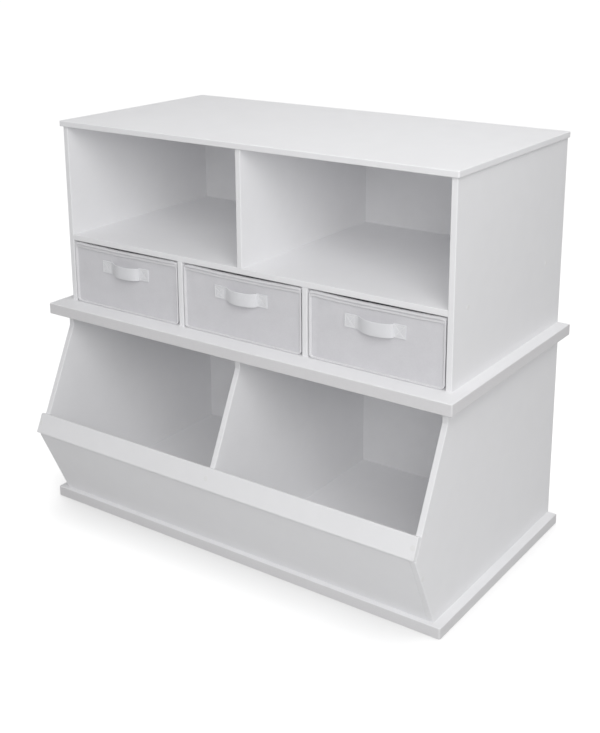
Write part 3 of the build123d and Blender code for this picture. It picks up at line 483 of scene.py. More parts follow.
# ----------------------------------------------------------------- stitches
def stitch_rows(b, pts, nrm, pitch, length, radius, lift=0.1):
    """Thread stitches along a line of points: short bars that dip into the cloth at both ends."""
    pts, nrm = np.asarray(pts, float), np.asarray(nrm, float)
    d = np.linalg.norm(np.diff(pts, axis=0), axis=1)
    s = np.concatenate([[0], np.cumsum(d)])
    count = max(1, int(s[-1] / pitch))
    at = (np.arange(count) + 0.5) * s[-1] / count
    look = lambda q, a: np.stack([np.interp(q, s, a[:, i]) for i in range(3)], 1)
    ring = np.linspace(0, 2 * math.pi, 6, endpoint=False)
    steps = np.array([-0.5, -0.30, 0.0, 0.30, 0.5])
    wide = np.array([0.45, 0.95, 1.0, 0.95, 0.45]) * radius
    rise = (1 - (2 * steps) ** 2) * radius * 0.9 + lift - radius * 0.55
    for q in at:
        c = look(np.clip(q + steps * length, 0, s[-1]), pts)
        n = look(np.array([q]), nrm)[0]
        n /= np.linalg.norm(n)
        t = c[-1] - c[0]
        if np.linalg.norm(t) < 1e-6:
            continue
        t /= np.linalg.norm(t)
        side = np.cross(t, n)
        side /= np.linalg.norm(side)
        up = np.cross(side, t)
        loops = c[:, None] + up[None, None] * rise[:, None, None] + wide[:, None, None] * (
            np.cos(ring)[None, :, None] * side + np.sin(ring)[None, :, None] * up)
        start = b.points(loops)
        m = len(ring)
        for i in range(len(steps) - 1):
            for j in range(m):
                j2 = (j + 1) % m
                b.face((start + i * m + j, start + (i + 1) * m + j, start + (i + 1) * m + j2, start + i * m + j2),
                       [(0, 0), (1, 0), (1, 1), (0, 1)])
        b.face([start + j for j in range(m)][::-1], [(0, 0)] * m)
        b.face([start + (len(steps) - 1) * m + j for j in range(m)], [(0, 0)] * m)


# ----------------------------------------------------------------- the bins
class Bin:
    """One fabric bin: a sewn box of cloth over board, with binding and a handle."""

    R = 2.0          # corner radius in plan
    WALL = 4.0
    FLOOR = 2.0
    FIN = 5.3        # length of the bound seam that stands out along the panel's edges

    def __init__(self, body, seed, sag, recess, arch, lean):
        self.body = body
        lo, hi = (np.array(v) * 1000 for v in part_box(body + "_fabric"))
        self.cx, self.cy = (lo[0] + hi[0]) / 2, (lo[1] + hi[1]) / 2
        # the cloth lies inside the box; the bound seams reach its outline
        self.a, self.b = (hi[0] - lo[0]) / 2 - 3.2, (hi[1] - lo[1]) / 2 - 1.2
        self.z0, self.z1 = lo[2], hi[2]
        self.h = self.z1 - self.z0
        self.seed, self.sag, self.recess, self.arch, self.lean = seed, sag, recess, arch, lean
        r = self.R
        self.La, self.Lb, self.Lc = 2 * (self.a - r), 2 * (self.b - r), math.pi * r / 2
        self.lens = [self.La, self.Lc, self.Lb, self.Lc, self.La, self.Lc, self.Lb, self.Lc]
        self.ends = np.concatenate([[0], np.cumsum(self.lens)])
        self.L = self.ends[-1]
        self.soft = [waves(seed * 17 + i, 7, 55.0, 190.0, 0.30) for i in range(4)]
        self.crease = [waves(seed * 31 + i, 9, 14.0, 34.0, 0.10) for i in range(4)]
        rng = np.random.RandomState(seed + 5)
        self.dents = [[(rng.uniform(0.15, 0.85), rng.uniform(0.2, 0.7), rng.uniform(24, 46), rng.uniform(-0.55, 0.35))
                       for _ in range(3)] for _ in range(4)]
        self.phase = rng.uniform(0, 6.28, 12)

    # -- outline
    def outline(self, sig, ins):
        sig = np.mod(sig, self.L)
        sig, ins = np.broadcast_arrays(np.asarray(sig, float), np.asarray(ins, float))
        r2 = np.maximum(self.R - ins, 0.8)
        ax, by = self.a - ins - r2, self.b - ins - r2
        seg = np.clip(np.searchsorted(self.ends, sig, side="right") - 1, 0, 7)
        f = (sig - self.ends[seg]) / np.array(self.lens)[seg]
        x, y, nx, ny = (np.zeros_like(sig) for _ in range(4))
        corner = seg % 2 == 1
        k = seg // 2
        th = np.radians(np.array([-90.0, 0.0, 90.0, 180.0]))[k] + f * math.pi / 2
        cx = np.array([1, 1, -1, -1])[k] * ax
        cyy = np.array([-1, 1, 1, -1])[k] * by
        x = np.where(corner, cx + r2 * np.cos(th), x)
        y = np.where(corner, cyy + r2 * np.sin(th), y)
        nx = np.where(corner, np.cos(th), nx)
        ny = np.where(corner, np.sin(th), ny)
        for i, (px, py, qx, qy) in enumerate((
            (-ax + 2 * ax * f, -(self.b - ins), 0, -1),
            (self.a - ins, -by + 2 * by * f, 1, 0),
            (ax - 2 * ax * f, self.b - ins, 0, 1),
            (-(self.a - ins), by - 2 * by * f, -1, 0),
        )):
            here = seg == 2 * i
            x, y = np.where(here, px, x), np.where(here, py, y)
            nx, ny = np.where(here, qx, nx), np.where(here, qy, ny)
        side = np.where(corner, -1, k)
        length = np.array(self.lens)[seg]
        end = np.where(corner, 0.0, np.minimum(f, 1 - f) * length)
        mids = self.ends[[1, 3, 5, 7]] + self.Lc / 2
        d = (sig[..., None] - mids + self.L / 2) % self.L - self.L / 2
        c = np.abs(d).min(-1)
        return x, y, nx, ny, side, f, end, c

    def top_drop(self, side, f, c):
        """How far the rim hangs below its corners, mid-side, and dips at each corner."""
        sag = np.array([self.sag, self.sag * 1.35, self.sag * 1.1, self.sag * 1.25])
        s = np.where(side >= 0, sag[np.clip(side, 0, 3)], 0)
        curve = np.where(side >= 0, np.clip(4 * f * (1 - f), 0, 1) ** 0.55, 0)
        wob = np.where(side >= 0, 0.22 * np.sin(9.0 * f + self.phase[3]) * curve, 0)
        return s * curve + wob + 1.5 * np.exp(-(c / 5.0) ** 2)

    def push(self, side, f, end, z, ins):
        """Outward offset of the wall's two faces."""
        h = (z - self.z0) / self.h
        out = np.zeros(np.broadcast(side, z).shape)
        for i in range(4):
            here = side == i
            length = self.lens[2 * i]
            p = f * length
            edge = smooth(end, 1.5, 9.0)
            up = smooth(z, self.z0 + 1.5, self.z0 + 8) * (1 - smooth(z, self.z1 - 13, self.z1 - 9))
            deep = self.recess if i == 0 else 0.7 * self.recess
            belly = np.sin(np.clip(f, 0, 1) * math.pi) * np.sin(np.clip(h, 0, 1) * math.pi)
            o = -deep * edge * up
            o = o + (0.35 if i == 0 else 0.5) * belly
            o = o + edge * smooth(z, self.z0 + 2, self.z0 + 16) * (self.soft[i](p, z) + self.crease[i](p, z) * 0.6)
            # puckers beside the sewn edges
            o = o + 0.20 * up * np.exp(-np.maximum(end - 8, 0) / 9.0) * edge * np.sin(2 * math.pi * z / 15.0 + self.phase[i] + 1.3 * np.sin(z / 9.0))
            fromtop = np.maximum(self.z1 - 11 - z, 0)
            o = o + 0.22 * edge * up * np.exp(-fromtop / 10.0) * np.sin(2 * math.pi * p / 19.0 + self.phase[4 + i] + 1.6 * np.sin(p / 23.0))
            for (du, dv, rad, amp) in self.dents[i]:
                q = ((p - du * length) ** 2 + (z - self.z0 - dv * self.h) ** 2) / rad ** 2
                o = o + amp * np.exp(-q) * edge * up
            # the rim leans in a little between the corners
            o = o - self.lean * np.clip(4 * f * (1 - f), 0, 1) * np.clip(h, 0, 1) ** 2 * (1.0 if i in (0, 2) else 1.4)
            out = np.where(here, o, out)
        return out * (1 - smooth(ins, 5.0, 16.0))

    # -- wall surface by path: outer bottom, outer wall, rim, inner wall, inner floor
    def path(self):
        z0, z1, zf, w = self.z0, self.z1, self.z0 + self.FLOOR, self.WALL
        rows = [(ins, z0, 0) for ins in (70.0, 40.0, 20.0, 10.0)]
        rows += [(6 + 6 * math.cos(t), z0 + 6 + 6 * math.sin(t), 0) for t in np.radians(np.linspace(-90, -180, 8))]
        rows += [(0.0, z, 0) for z in np.linspace(z0 + 6, z1 - 2, 44)[1:]]
        rows += [(2 + 2 * math.cos(t), z1 - 2 + 2 * math.sin(t), 0 if t > math.pi / 2 else 1) for t in np.radians(np.linspace(180, 0, 9))[1:]]
        rows += [(w, z, 1) for z in np.linspace(z1 - 2, zf + 2, 30)[1:]]
        rows += [(6 + 2 * math.cos(t), zf + 2 + 2 * math.sin(t), 1) for t in np.radians(np.linspace(180, 270, 4))[1:]]
        rows += [(ins, zf, 1) for ins in (12.0, 24.0, 45.0, 70.0)]
        return np.array(rows)

    def at(self, sig, ins, z, inner):
        """Points of the wall surface in mm."""
        sig, ins, z, inner = np.broadcast_arrays(*(np.asarray(v, float) for v in (sig, ins, z, inner)))
        # the lower outer edge is tight under the front and back, rounder under the sides
        turned = np.mod(sig, self.L)
        seg = np.clip(np.searchsorted(self.ends, turned, side="right") - 1, 0, 7)
        part = (turned - self.ends[seg]) / np.array(self.lens)[seg]
        sideways = np.where(seg % 4 == 0, 0.0, np.where(seg % 4 == 2, 1.0, np.where(seg % 4 == 1, part, 1 - part)))
        R = 3.0 + 3.0 * sideways
        low_edge = (inner < 0.5) & (z <= self.z0 + 6.0001)
        scale = R / 6.0
        ins2 = np.where(low_edge, np.where(ins <= 6.0001, ins * scale, R + (ins - 6) * (70 - R) / 64), ins)
        z2 = np.where(low_edge, self.z0 + (z - self.z0) * scale, z)
        wall = (inner < 0.5) & (z > self.z0 + 6.0001) & (ins < 0.001)
        z2 = np.where(wall, self.z0 + R + (z - self.z0 - 6) * (self.h - 2 - R) / (self.h - 8), z2)
        x, y, nx, ny, side, f, end, c = self.outline(sig, ins2)
        o = self.push(side, f, end, z2, ins2)
        drop = self.top_drop(side, f, c) * smooth(z2, self.z0 + 0.45 * self.h, self.z1) * (ins2 < 6.5)
        return np.stack([self.cx + x + nx * o, self.cy + y + ny * o, z2 - drop], -1)

    def sigmas(self):
        out = []
        for i, length in enumerate(self.lens):
            n = 7 if i % 2 else int(length / 4.2)
            if i % 2:
                out.append(self.ends[i] + np.linspace(0, length, n, endpoint=False))
            else:
                t = np.linspace(0, 1, n, endpoint=False)
                out.append(self.ends[i] + length * t)
        return np.concatenate(out)

    def fabric(self):
        sig = self.sigmas()
        rows = self.path()
        p = self.at(sig[None, :], rows[:, 0:1], rows[:, 1:2], rows[:, 2:3])
        n, m = p.shape[:2]
        b = Build()
        start = b.points(p)
        step = np.linalg.norm(np.diff(rows[:, :2], axis=0), axis=1)
        v = np.concatenate([[0], np.cumsum(step)])
        uv = np.zeros((n + 1, m + 1, 2))
        uv[:n, :m, 0] = sig[None]
        uv[:n, m, 0] = self.L
        uv[:n, :, 1] = v[:, None]
        b.grid(start, n, m, uv, wrap_j=True)
        for k in (0, n - 1):
            z = p[k, :, 2].mean()
            c = b.points([self.cx, self.cy, z])
            ids = [start + k * m + j for j in range(m)]
            for j in range(m):
                j2 = (j + 1) % m
                q, q2 = p[k, j], p[k, j2]
                b.face((c, ids[j], ids[j2]), [(0, 0), (q[0] - self.cx, q[1] - self.cy), (q2[0] - self.cx, q2[1] - self.cy)])
        return b.make(self.body + "_cloth", CLOTH)

    # -- binding over the rim
    RIM = [(-0.2, -9.5), (0.9, -9.7), (1.9, -9.4), (2.4, -8.6), (2.55, -7.4), (2.4, -6.2), (1.8, -5.3), (0.8, -4.8),
           (1.0, -4.1), (2.4, -3.7), (3.6, -2.9), (3.95, -1.8), (3.5, -0.5), (2.2, 0.4), (0.4, 0.9), (-2.0, 1.0), (-4.2, 0.85),
           (-5.3, 0.2), (-5.9, -0.9), (-6.0, -2.4), (-5.5, -4.2), (-5.0, -4.8), (-5.4, -5.6), (-5.6, -7.6), (-5.4, -9.6),
           (-4.9, -10.5), (-4.1, -10.8), (-3.5, -10.2), (-3.3, -7.5), (-3.2, -3.4), (-2.0, -2.6), (-0.8, -3.4), (-0.6, -7.5), (-0.5, -10.2)]

    def rim_points(self, sig, e, dz):
        """A point e outside the wall's outer face and dz above the rim."""
        x, y, nx, ny, side, f, end, c = self.outline(sig, -e)
        zr = np.full(np.shape(x), self.z1 - 2.0)
        o = self.push(side, f, end, zr, np.zeros_like(zr))
        drop = self.top_drop(side, f, c)
        return np.stack([self.cx + x + nx * o, self.cy + y + ny * o, self.z1 + dz - drop], -1)

    def binding(self):
        b = Build()
        loop, q, total = round_loop(self.RIM, 58)
        sig = []
        for i, length in enumerate(self.lens):
            n = 9 if i % 2 else int(length / 3.4)
            sig.append(self.ends[i] + np.linspace(0, length, n, endpoint=False))
        sig = np.concatenate(sig)
        ee, zz = loop[:, 0], loop[:, 1]
        # small uneven fullness along the folded tape
        wob = 1 + 0.06 * np.sin(sig / 7.3 + self.phase[8]) + 0.05 * np.sin(sig / 3.1 + self.phase[9])
        e = np.where(ee[None] > 0.3, ee[None] * wob[:, None], ee[None])
        low = (zz[None] < -9.0) * (0.18 * np.sin(sig / 5.2 + self.phase[10]) + 0.15 * np.sin(sig / 13.0))[:, None]
        p = self.rim_points(sig[:, None], e, zz[None] + low)
        tube(b, p, sig, np.append(q, total), True)
        for way in (-1, 1):
            root, out_dir, flank, length, s = self.fin(way)
            u, h = np.array(self.FIN_SIDE).T
            m = len(u)
            uu, hh = np.concatenate([u, u[::-1][1:]]), np.concatenate([h, -h[::-1][1:]])
            lump = 1 + 0.05 * np.sin(s / 4.3 + self.phase[5]) + 0.04 * np.sin(s / 2.1 + self.phase[6])
            p = (root[:, None] + out_dir[:, None] * (uu[None] * length[:, None])[..., None]
                 + flank[:, None] * (hh[None] * lump[:, None])[..., None])
            rnd = np.concatenate([[0], np.cumsum(np.hypot(np.diff(uu) * self.FIN, np.diff(hh)))])
            tube(b, p, s, np.append(rnd, rnd[-1] + 2.0), False)
        return b.make(self.body + "_binding_tape", TAPE)

    # half of the fin's section: (share of its length, half thickness in mm)
    FIN_SIDE = [(-0.30, 0.75), (-0.05, 1.05), (0.10, 1.12), (0.24, 1.02), (0.34, 0.82), (0.40, 0.76), (0.47, 0.88), (0.58, 1.18),
                (0.72, 1.38), (0.85, 1.36), (0.93, 1.15), (0.98, 0.72), (1.0, 0.0)]

    def fin(self, way):
        """The bound seam round the front (-1) or back (1) panel: root line, its two directions, length and path."""
        A, zb, zt, r = self.a - 0.3, self.z0 + 2.7, self.z1 - 0.9, 5.5
        x, z, ox, oz = [], [], [], []

        def add(px, pz, dx, dz):
            x.append(px), z.append(pz), ox.append(dx), oz.append(dz)

        for t in np.linspace(zt, zb + r, 58)[:-1]:
            add(-A, t, -1, 0)
        for t in np.radians(np.linspace(180, 270, 10)):
            add(-A + r + r * math.cos(t), zb + r + r * math.sin(t), math.cos(t), math.sin(t))
        for t in np.linspace(-A + r, A - r, 110)[1:-1]:
            add(t, zb, 0, -1)
        for t in np.radians(np.linspace(270, 360, 10)):
            add(A - r + r * math.cos(t), zb + r + r * math.sin(t), math.cos(t), math.sin(t))
        for t in np.linspace(zb + r, zt, 58)[1:]:
            add(A, t, 1, 0)
        x, z, ox, oz = (np.array(v, float) for v in (x, z, ox, oz))
        s = np.concatenate([[0], np.cumsum(np.hypot(np.diff(x), np.diff(z)))])
        down = np.clip(-oz, 0, 1)
        near_top = np.minimum(s, s[-1] - s)
        th = np.radians(44 + 22 * down - 6 * np.clip(ox, 0, 1) + 3.0 * np.sin(s / 37.0 + self.phase[way + 2]) * (1 - down)
                        + 2.0 * np.sin(s / 11.0 + self.phase[way + 7]) * (1 - down) + 8 * (1 - smooth(near_top, 2, 20)))
        length = self.FIN * (1 - 0.16 * down) * (1 + 0.035 * np.sin(s / 13.0 + self.phase[way + 4]))
        length = length * (0.50 + 0.50 * smooth(near_top, -1.0, 6.0))
        o = np.stack([ox, 0 * ox, oz], 1)
        f = np.tile([0.0, float(way), 0.0], (len(x), 1))
        d = np.cos(th)[:, None] * o + np.sin(th)[:, None] * f
        m = -np.sin(th)[:, None] * o + np.cos(th)[:, None] * f
        root = np.stack([self.cx + x, np.full_like(x, self.cy + way * (self.b - 0.5)), z], 1)
        return root, d, m, length, s

    def face_y(self, x, z):
        """Y of the front face's cloth at x, z."""
        x, z = np.broadcast_arrays(np.asarray(x, float), np.asarray(z, float))
        sig = x - self.cx + (self.a - self.R)
        return self.at(sig, 0 * sig, z, 0 * sig)[..., 1]

    # -- handle
    def strap(self):
        lo, hi = (np.array(v) * 1000 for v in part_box(self.body + "_handle"))
        self.hx0, self.hx1, self.hz0, self.hz1 = lo[0], hi[0], lo[2], hi[2]
        return lo, hi

    # the loose strap between its sewn ends: slack that leans to one side, (x, lift) as shares of 39.5 mm and the reach
    ARCH = [(-1.0, 0.0), (-0.93, 0.035), (-0.84, 0.14), (-0.70, 0.37), (-0.50, 0.67), (-0.25, 0.90), (0.03, 1.0), (0.32, 0.985),
            (0.58, 0.90), (0.80, 0.735), (0.945, 0.51), (1.015, 0.29), (1.02, 0.13), (1.0, 0.0)]

    def strap_line(self, half):
        """The strap's middle line from end to end: x from the centre, lift, and share of the arch."""
        tab_in, reach, lean = 39.5, self.arch[0], self.arch[1]
        k = np.array(self.ARCH)
        k[:, 0] = k[:, 0] + lean * (1 - k[:, 0] ** 2)
        pts = np.stack([k[:, 0] * tab_in, k[:, 1] * reach], 1)
        pts = np.vstack([pts[0] * 2 - [pts[0, 0] + 3.0, 0], pts, [pts[-1, 0] + 3.0, 0]])
        pts[0] = [-tab_in - 3.0, 0.0]
        line = []
        for i in range(1, len(pts) - 2):
            p0, p1, p2, p3 = pts[i - 1], pts[i], pts[i + 1], pts[i + 2]
            for t in np.linspace(0, 1, 9, endpoint=False):
                line.append(0.5 * (2 * p1 + (p2 - p0) * t + (2 * p0 - 5 * p1 + 4 * p2 - p3) * t * t + (3 * p1 - p0 - 3 * p2 + p3) * t ** 3))
        line = np.array(line)
        line[:, 1] = np.maximum(line[:, 1], 0)
        end = np.array([0, .12, .3, .55, .9, 1.4])
        left = np.concatenate([-half + end, np.linspace(-half + 1.9, -tab_in - 0.4, 36)])
        right = np.concatenate([np.linspace(tab_in, half - 1.9, 36), (half - end)[::-1]])
        x = np.concatenate([left, line[:, 0], right])
        lift = np.concatenate([0 * left, line[:, 1], 0 * right])
        return x, lift, np.concatenate([0 * left, 1 + 0 * line[:, 0], 0 * right])

    def handle(self):
        self.strap()
        cx, half, w = (self.hx0 + self.hx1) / 2, (self.hx1 - self.hx0) / 2, (self.hz1 - self.hz0)
        zc = (self.hz0 + self.hz1) / 2
        tab_in, tab = 39.5, half - 39.5
        xs, lift, loose = self.strap_line(half)
        # section: ribbed outer face, rounded selvedges, plain inner face
        u = np.linspace(-1, 1, 66)
        n_edge = np.linspace(0, math.pi, 7)[1:-1]
        half_w = w / 2
        outer = np.stack([u * (half_w - 0.75), np.ones_like(u)], 1)
        edge_r = np.stack([half_w - 0.75 + 0.75 * np.sin(n_edge), np.cos(n_edge)], 1)
        inner = np.stack([u[::-1][::3] * (half_w - 0.75), -np.ones(len(u[::3]))], 1)
        edge_l = np.stack([-(half_w - 0.75) - 0.75 * np.sin(n_edge), -np.cos(n_edge)], 1)
        sec = np.vstack([outer, edge_r, inner, edge_l])
        is_outer = np.concatenate([np.ones(len(outer)), np.zeros(len(sec) - len(outer))])
        share = np.clip(lift / self.arch[0], 0, 1)
        thick = 2.7 - 1.0 * smooth(share, 0.0, 0.16) * loose
        tip = np.sqrt(np.clip(1 - ((np.clip(np.abs(xs) - (half - 1.4), 0, 1.4)) / 1.4) ** 2, 0.0, 1))
        tip = np.clip(tip, 0.12, 1)
        # the arch: follow the face at the two sewn ends, straight between them
        ys_l = self.face_y(cx - tab_in, zc)
        ys_r = self.face_y(cx + tab_in, zc)
        mid = lift + 1.45
        tx_, ty_ = np.gradient(xs), np.gradient(mid)
        run = np.hypot(tx_, ty_)
        nx, nyy = -ty_ / run, tx_ / run
        droop = -0.5 * share ** 1.2
        turn = math.radians(self.arch[2]) * share
        p = np.zeros((len(xs), len(sec), 3))
        for i, x in enumerate(xs):
            zz = sec[:, 0] * (1 + 0.03 * share[i])
            hh = sec[:, 1] * thick[i] / 2 * tip[i]
            ribs = 0.13 * np.cos(2 * math.pi * sec[:, 0] / 2.0) * is_outer
            cup = 0.35 * (sec[:, 0] / half_w) ** 2 * np.clip(lift[i] / 6, 0, 1)
            dent = 0.0
            if not loose[i]:
                dent = self.sewn(abs(x) - tab_in, sec[:, 0], tab, w) * is_outer
            off = mid[i] + (hh + ribs * tip[i] - dent) * nyy[i] - cup
            xo = x + (hh + ribs - dent) * nx[i]
            z_here = zc + zz * math.cos(turn[i]) + droop[i]
            off = off + zz * math.sin(turn[i])
            if loose[i]:
                span = min(max(x, -tab_in), tab_in)
                base = ys_l + (ys_r - ys_l) * (span + tab_in) / (2 * tab_in)
                blend = 1 - smooth(lift[i], 0.0, 5.0)
                base = base * (1 - blend) + blend * self.face_y(cx + math.copysign(tab_in, x), z_here)
            else:
                base = self.face_y(cx + x, np.clip(z_here, self.z0 + 8, self.z1 - 14))
            p[i] = np.stack([cx + xo, base - off, z_here], -1)
        b = Build()
        along = np.concatenate([[0], np.cumsum(np.hypot(np.diff(xs), np.diff(mid)))])
        rnd = np.concatenate([[0], np.cumsum(np.linalg.norm(np.diff(np.vstack([sec * [1, 0.8], (sec * [1, 0.8])[:1]]), axis=0), axis=1))])
        tube(b, p, along, rnd, False)
        return b.make(self.body + "_webbing_handle", WEB)

    def sew_lines(self, tab, w):
        """The box and cross sewn on each end, in (distance past the arch, height) in mm."""
        x0, x1, y0, y1 = 2.4, tab - 2.6, -w / 2 + 2.6, w / 2 - 2.6
        return [((x0, y0), (x1, y0)), ((x1, y0), (x1, y1)), ((x1, y1), (x0, y1)), ((x0, y1), (x0, y0)),
                ((x0, y0), (x1, y1)), ((x0, y1), (x1, y0))]

    def sewn(self, tx, zz, tab, w):
        best = np.full(np.shape(zz), 99.0)
        for (ax, ay), (bx, by) in self.sew_lines(tab, w):
            dx, dy = bx - ax, by - ay
            t = np.clip(((tx - ax) * dx + (zz - ay) * dy) / (dx * dx + dy * dy), 0, 1)
            best = np.minimum(best, np.hypot(tx - ax - t * dx, zz - ay - t * dy))
        inside = smooth(tx, 1.6, 3.6) * (1 - smooth(tx, tab - 3.8, tab - 1.8)) * (1 - smooth(np.abs(zz), w / 2 - 3.8, w / 2 - 1.8))
        return 0.62 * np.exp(-(best / 1.2) ** 2) + 0.30 * inside

    # -- all thread
    def stitches(self):
        b = Build()
        # along the rim's lower edge, outside and inside
        sig = np.linspace(0, self.L, 700)
        out = self.outline(sig, 0 * sig)
        nrm = np.stack([out[2], out[3], 0 * sig], 1)
        p = self.rim_points(sig, np.full(700, 2.34), np.full(700, -8.1))
        stitch_rows(b, p, nrm, 3.6, 2.6, 0.36, 0.16)
        p = self.rim_points(sig, np.full(700, -5.5), np.full(700, -9.0))
        stitch_rows(b, p, -nrm, 3.6, 2.6, 0.36, 0.16)
        # along both flanks of the bound seams
        for way in (-1, 1):
            root, out_dir, flank, length, s = self.fin(way)
            keep = (s > 12) & (s < s[-1] - 12)
            mid = root + out_dir * (0.40 * length)[:, None]
            for face in (-1, 1):
                stitch_rows(b, (mid + face * flank * 0.66)[keep], (face * flank)[keep], 3.6, 2.6, 0.33, 0.14)
        # the handle's two sewn ends
        cx, zc = (self.hx0 + self.hx1) / 2, (self.hz0 + self.hz1) / 2
        half, w = (self.hx1 - self.hx0) / 2, self.hz1 - self.hz0
        tab = half - 39.5
        for sgn in (-1, 1):
            for (ax, ay), (bx, by) in self.sew_lines(tab, w):
                t = np.linspace(0, 1, 24)
                x = cx + sgn * (39.5 + ax + (bx - ax) * t)
                z = zc + ay + (by - ay) * t
                y = self.face_y(x, z) - (2.8 - 0.82)
                pts = np.stack([x, y, z], 1)
                stitch_rows(b, pts, np.tile([0.0, -1.0, 0.0], (24, 1)), 3.1, 2.4, 0.44, 0.2)
        return b.make(self.body + "_stitching", THREAD)

    # -- board sewn into the four walls
    def stiffeners(self):
        b = Build()
        for i in range(4):
            s0, length = self.ends[2 * i], self.lens[2 * i]
            sig = s0 + np.linspace(7.0, length - 7.0, int(length / 5))
            zz = np.linspace(self.z0 + 7.0, self.z1 - 3.4, 40)
            blocks = []
            for ins in (1.3, 2.7):
                q = self.at(sig[:, None], np.full((1, len(zz)), ins), zz[None], np.ones((1, len(zz))))
                blocks.append(q)
            ni, nj = blocks[0].shape[:2]
            loop = np.concatenate([blocks[0], blocks[1][:, ::-1]], axis=1)
            along = sig - sig[0]
            rnd = np.arange(loop.shape[1] + 1) * 5.0
            start = b.points(loop)
            m = loop.shape[1]
            uv = np.zeros((ni + 1, m + 1, 2))
            uv[:ni, :, 0] = along[:, None]
            uv[:, :, 1] = rnd[None]
            b.grid(start, ni, m, uv, wrap_j=True)
            for k in (0, ni - 1):
                for j in range(nj - 1):
                    ids = (start + k * m + j, start + k * m + j + 1, start + k * m + m - 2 - j, start + k * m + m - 1 - j)
                    b.face(ids, [(0, 0)] * 4)
        return b.make(self.body + "_stiffeners", BOARD)

    # -- loose covered board on the bin's floor
    def floor_pad(self):
        lo, hi = (np.array(v) * 1000 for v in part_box(self.body + "_floor_board"))
        cx, cy = (lo[0] + hi[0]) / 2, (lo[1] + hi[1]) / 2
        ha = min((hi[0] - lo[0]) / 2, self.a - self.WALL - 0.9)
        hb = min((hi[1] - lo[1]) / 2, self.b - self.WALL - 0.9)
        t = hi[2] - lo[2]
        field = waves(self.seed * 7 + 3, 6, 60, 220, 0.12)
        ring = []
        r = 6.0
        per = []
        for (sx, sy, a0) in ((1, -1, -90), (1, 1, 0), (-1, 1, 90), (-1, -1, 180)):
            for t2 in np.linspace(0, 1, 6):
                th = math.radians(a0 + 90 * t2)
                per.append((sx * (ha - r) + r * math.cos(th), sy * (hb - r) + r * math.sin(th)))
        per = np.array(per)
        dense = []
        for i in range(len(per)):
            p, q = per[i], per[(i + 1) % len(per)]
            n = max(1, int(np.linalg.norm(q - p) / 9))
            for t2 in np.linspace(0, 1, n, endpoint=False):
                dense.append(p + (q - p) * t2)
        dense = np.array(dense)
        rows = []
        for s, z in ((0.02, 0), (0.3, 0), (0.6, 0), (0.85, 0), (0.975, 0), (None, 0.3), (None, 1.25), (None, 2.2), (0.975, t), (0.94, t), (0.85, t), (0.6, t), (0.3, t), (0.02, t)):
            if s is None:
                k = {0.3: 0.994, 1.25: 1.0, 2.2: 0.994}[z]
                xy = dense * k
            else:
                xy = dense * s
            zz = np.full(len(dense), lo[2] + z)
            if z >= t - 0.01:
                lift = field(xy[:, 0], xy[:, 1]) * (s or 1) ** 0.5
                zz = zz + np.clip(lift, -0.25, 0.3) * (1 - smooth(s, 0.9, 0.98)) - 0.22 * math.exp(-((s - 0.94) / 0.012) ** 2)
            rows.append(np.stack([cx + xy[:, 0], cy + xy[:, 1], zz], 1))
        p = np.array(rows)
        b = Build()
        n, m = p.shape[:2]
        start = b.points(p)
        uv = np.zeros((n + 1, m + 1, 2))
        uv[:n, :m, :] = p[:, :, :2]
        uv[:n, m, :] = p[:, 0, :2]
        b.grid(start, n, m, uv, wrap_j=True)
        for k in (0, n - 1):
            c = b.points(p[k].mean(0))
            for j in range(m):
                j2 = (j + 1) % m
                b.face((c, start + k * m + j, start + k * m + j2), [p[k].mean(0)[:2], p[k, j, :2], p[k, j2, :2]])
        return b.make(self.body + "_floor_pad", LINING)

    def build(self):
        body = self.body
        for piece, nodes, slot in (
            (self.fabric(), ("_fabric",), "bin_fabric"),
            (self.stiffeners(), ("_wall_boards",), "stiffener_board"),
            (self.floor_pad(), ("_floor_board",), "bin_lining"),
            (self.binding(), ("_binding",), "bin_tape"),
            (self.handle(), ("_handle",), "bin_webbing"),
        ):
            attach(piece, body)
            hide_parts(*(body + n for n in nodes))
        sewing = self.stitches()
        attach(sewing, body)


# rim sag, face recess, handle (reach, lean, twist), rim lean
Bin("bin_left", 3, 2.7, 0.45, (15.0, -0.01, 2.5), 0.3).build()
Bin("bin_centre", 8, 3.0, 0.55, (15.4, 0.02, 1.0), 0.3).build()
Bin("bin_right", 14, 3.0, 0.50, (15.2, 0.0, 3.0), 0.4).build()


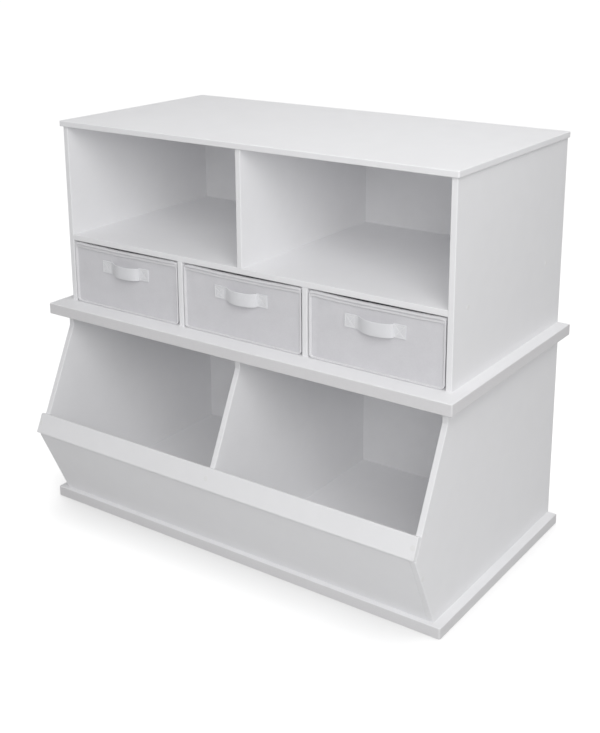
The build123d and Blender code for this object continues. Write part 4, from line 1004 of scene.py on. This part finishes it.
# ---------------------------------------------------------------- the floor
def make_floor():
    me = bpy.data.meshes.new("studio_floor")
    s, z = 60.0, -0.0003
    me.from_pydata([(-s, -s, z), (s, -s, z), (s, s, z), (-s, s, z)], [], [(0, 1, 2, 3)])
    ob = bpy.data.objects.new("studio_floor", me)
    scene.collection.objects.link(ob)
    mat = bpy.data.materials.new("pale_floor")
    mat.use_nodes = True
    t = mat.node_tree
    bs = t.nodes["Principled BSDF"]
    bs.inputs["Base Color"].default_value = (0.60, 0.60, 0.60, 1.0)
    bs.inputs["Roughness"].default_value = 0.9
    bs.inputs["Specular IOR Level"].default_value = 0.0
    # a bright studio sweep: an even glow seen only by the camera, dimmed by ambient occlusion where the object stands
    # on it, a painted contact shadow
    path, shade = t.nodes.new("ShaderNodeLightPath"), t.nodes.new("ShaderNodeAmbientOcclusion")
    glow, total = t.nodes.new("ShaderNodeEmission"), t.nodes.new("ShaderNodeAddShader")
    amount = t.nodes.new("ShaderNodeMath")
    shade.inputs["Distance"].default_value = 0.16
    shade.samples = 12
    amount.operation = "MULTIPLY"
    t.links.new(path.outputs["Is Camera Ray"], amount.inputs[0])
    amount.inputs[1].default_value = FLOOR_GLOW
    t.links.new(shade.outputs["Color"], glow.inputs["Color"])
    t.links.new(amount.outputs[0], glow.inputs["Strength"])
    t.links.new(bs.outputs["BSDF"], total.inputs[0])
    t.links.new(glow.outputs["Emission"], total.inputs[1])
    t.links.new(total.outputs[0], t.nodes["Material Output"].inputs["Surface"])
    me.materials.append(mat)


FLOOR_GLOW = 0.90
make_floor()


# ---------------------------------------------------------------- the light
def make_world(strength, shown):
    world = bpy.data.worlds.new("studio")
    scene.world = world
    world.use_nodes = True
    t = world.node_tree
    t.nodes.clear()
    out = t.nodes.new("ShaderNodeOutputWorld")
    mix = t.nodes.new("ShaderNodeMixShader")
    path = t.nodes.new("ShaderNodeLightPath")
    lit, seen = t.nodes.new("ShaderNodeBackground"), t.nodes.new("ShaderNodeBackground")
    lit.name, seen.name = "lit", "seen"
    lit.inputs["Color"].default_value = (0.97, 0.98, 1.0, 1.0)
    lit.inputs["Strength"].default_value = strength
    seen.inputs["Color"].default_value = (1.0, 1.0, 1.0, 1.0)
    seen.inputs["Strength"].default_value = shown
    t.links.new(path.outputs["Is Camera Ray"], mix.inputs[0])
    t.links.new(lit.outputs[0], mix.inputs[1])
    t.links.new(seen.outputs[0], mix.inputs[2])
    t.links.new(mix.outputs[0], out.inputs["Surface"])


def sun(name, azimuth, elevation, strength, spread, colour=(1.0, 1.0, 1.0)):
    """A soft distant light from azimuth (0 = in front, 90 = from the right) and elevation."""
    data = bpy.data.lights.new(name, "SUN")
    data.energy, data.angle, data.color = strength, math.radians(spread), colour
    ob = bpy.data.objects.new(name, data)
    scene.collection.objects.link(ob)
    a, e = math.radians(azimuth), math.radians(elevation)
    to = Vector((math.sin(a) * math.cos(e), -math.cos(a) * math.cos(e), math.sin(e)))
    ob.rotation_mode = "QUATERNION"
    ob.rotation_quaternion = to.to_track_quat("Z", "Y")
    return ob


def softbox(name, place, aim, size, power):
    """A square soft light at place, in metres, turned to aim."""
    data = bpy.data.lights.new(name, "AREA")
    data.shape, data.size, data.energy = "SQUARE", size, power
    ob = bpy.data.objects.new(name, data)
    scene.collection.objects.link(ob)
    ob.location = place
    ob.rotation_mode = "QUATERNION"
    ob.rotation_quaternion = (Vector(place) - Vector(aim)).to_track_quat("Z", "Y")
    ob.visible_camera = False
    return ob


make_world(0.05, 1.10)
softbox("front_right_box", (1.6, -1.6, 1.9), (0.0, 0.0, 0.45), 1.6, 33.5)
softbox("top_box", (0.1, 0.1, 2.3), (0.0, 0.0, 0.6), 2.0, 14.5)
sun("key_right", 35, 30, 0.43, 50)
sun("front_fill", 20, 25, 0.15, 40)
sun("rear_right", 130, 60, 0.20, 50)
sun("rear_left", 205, 35, 0.19, 50)

scene.view_settings.view_transform = "Standard"
scene.view_settings.look = "None"
scene.view_settings.exposure = 0.0
scene.view_settings.gamma = 1.5
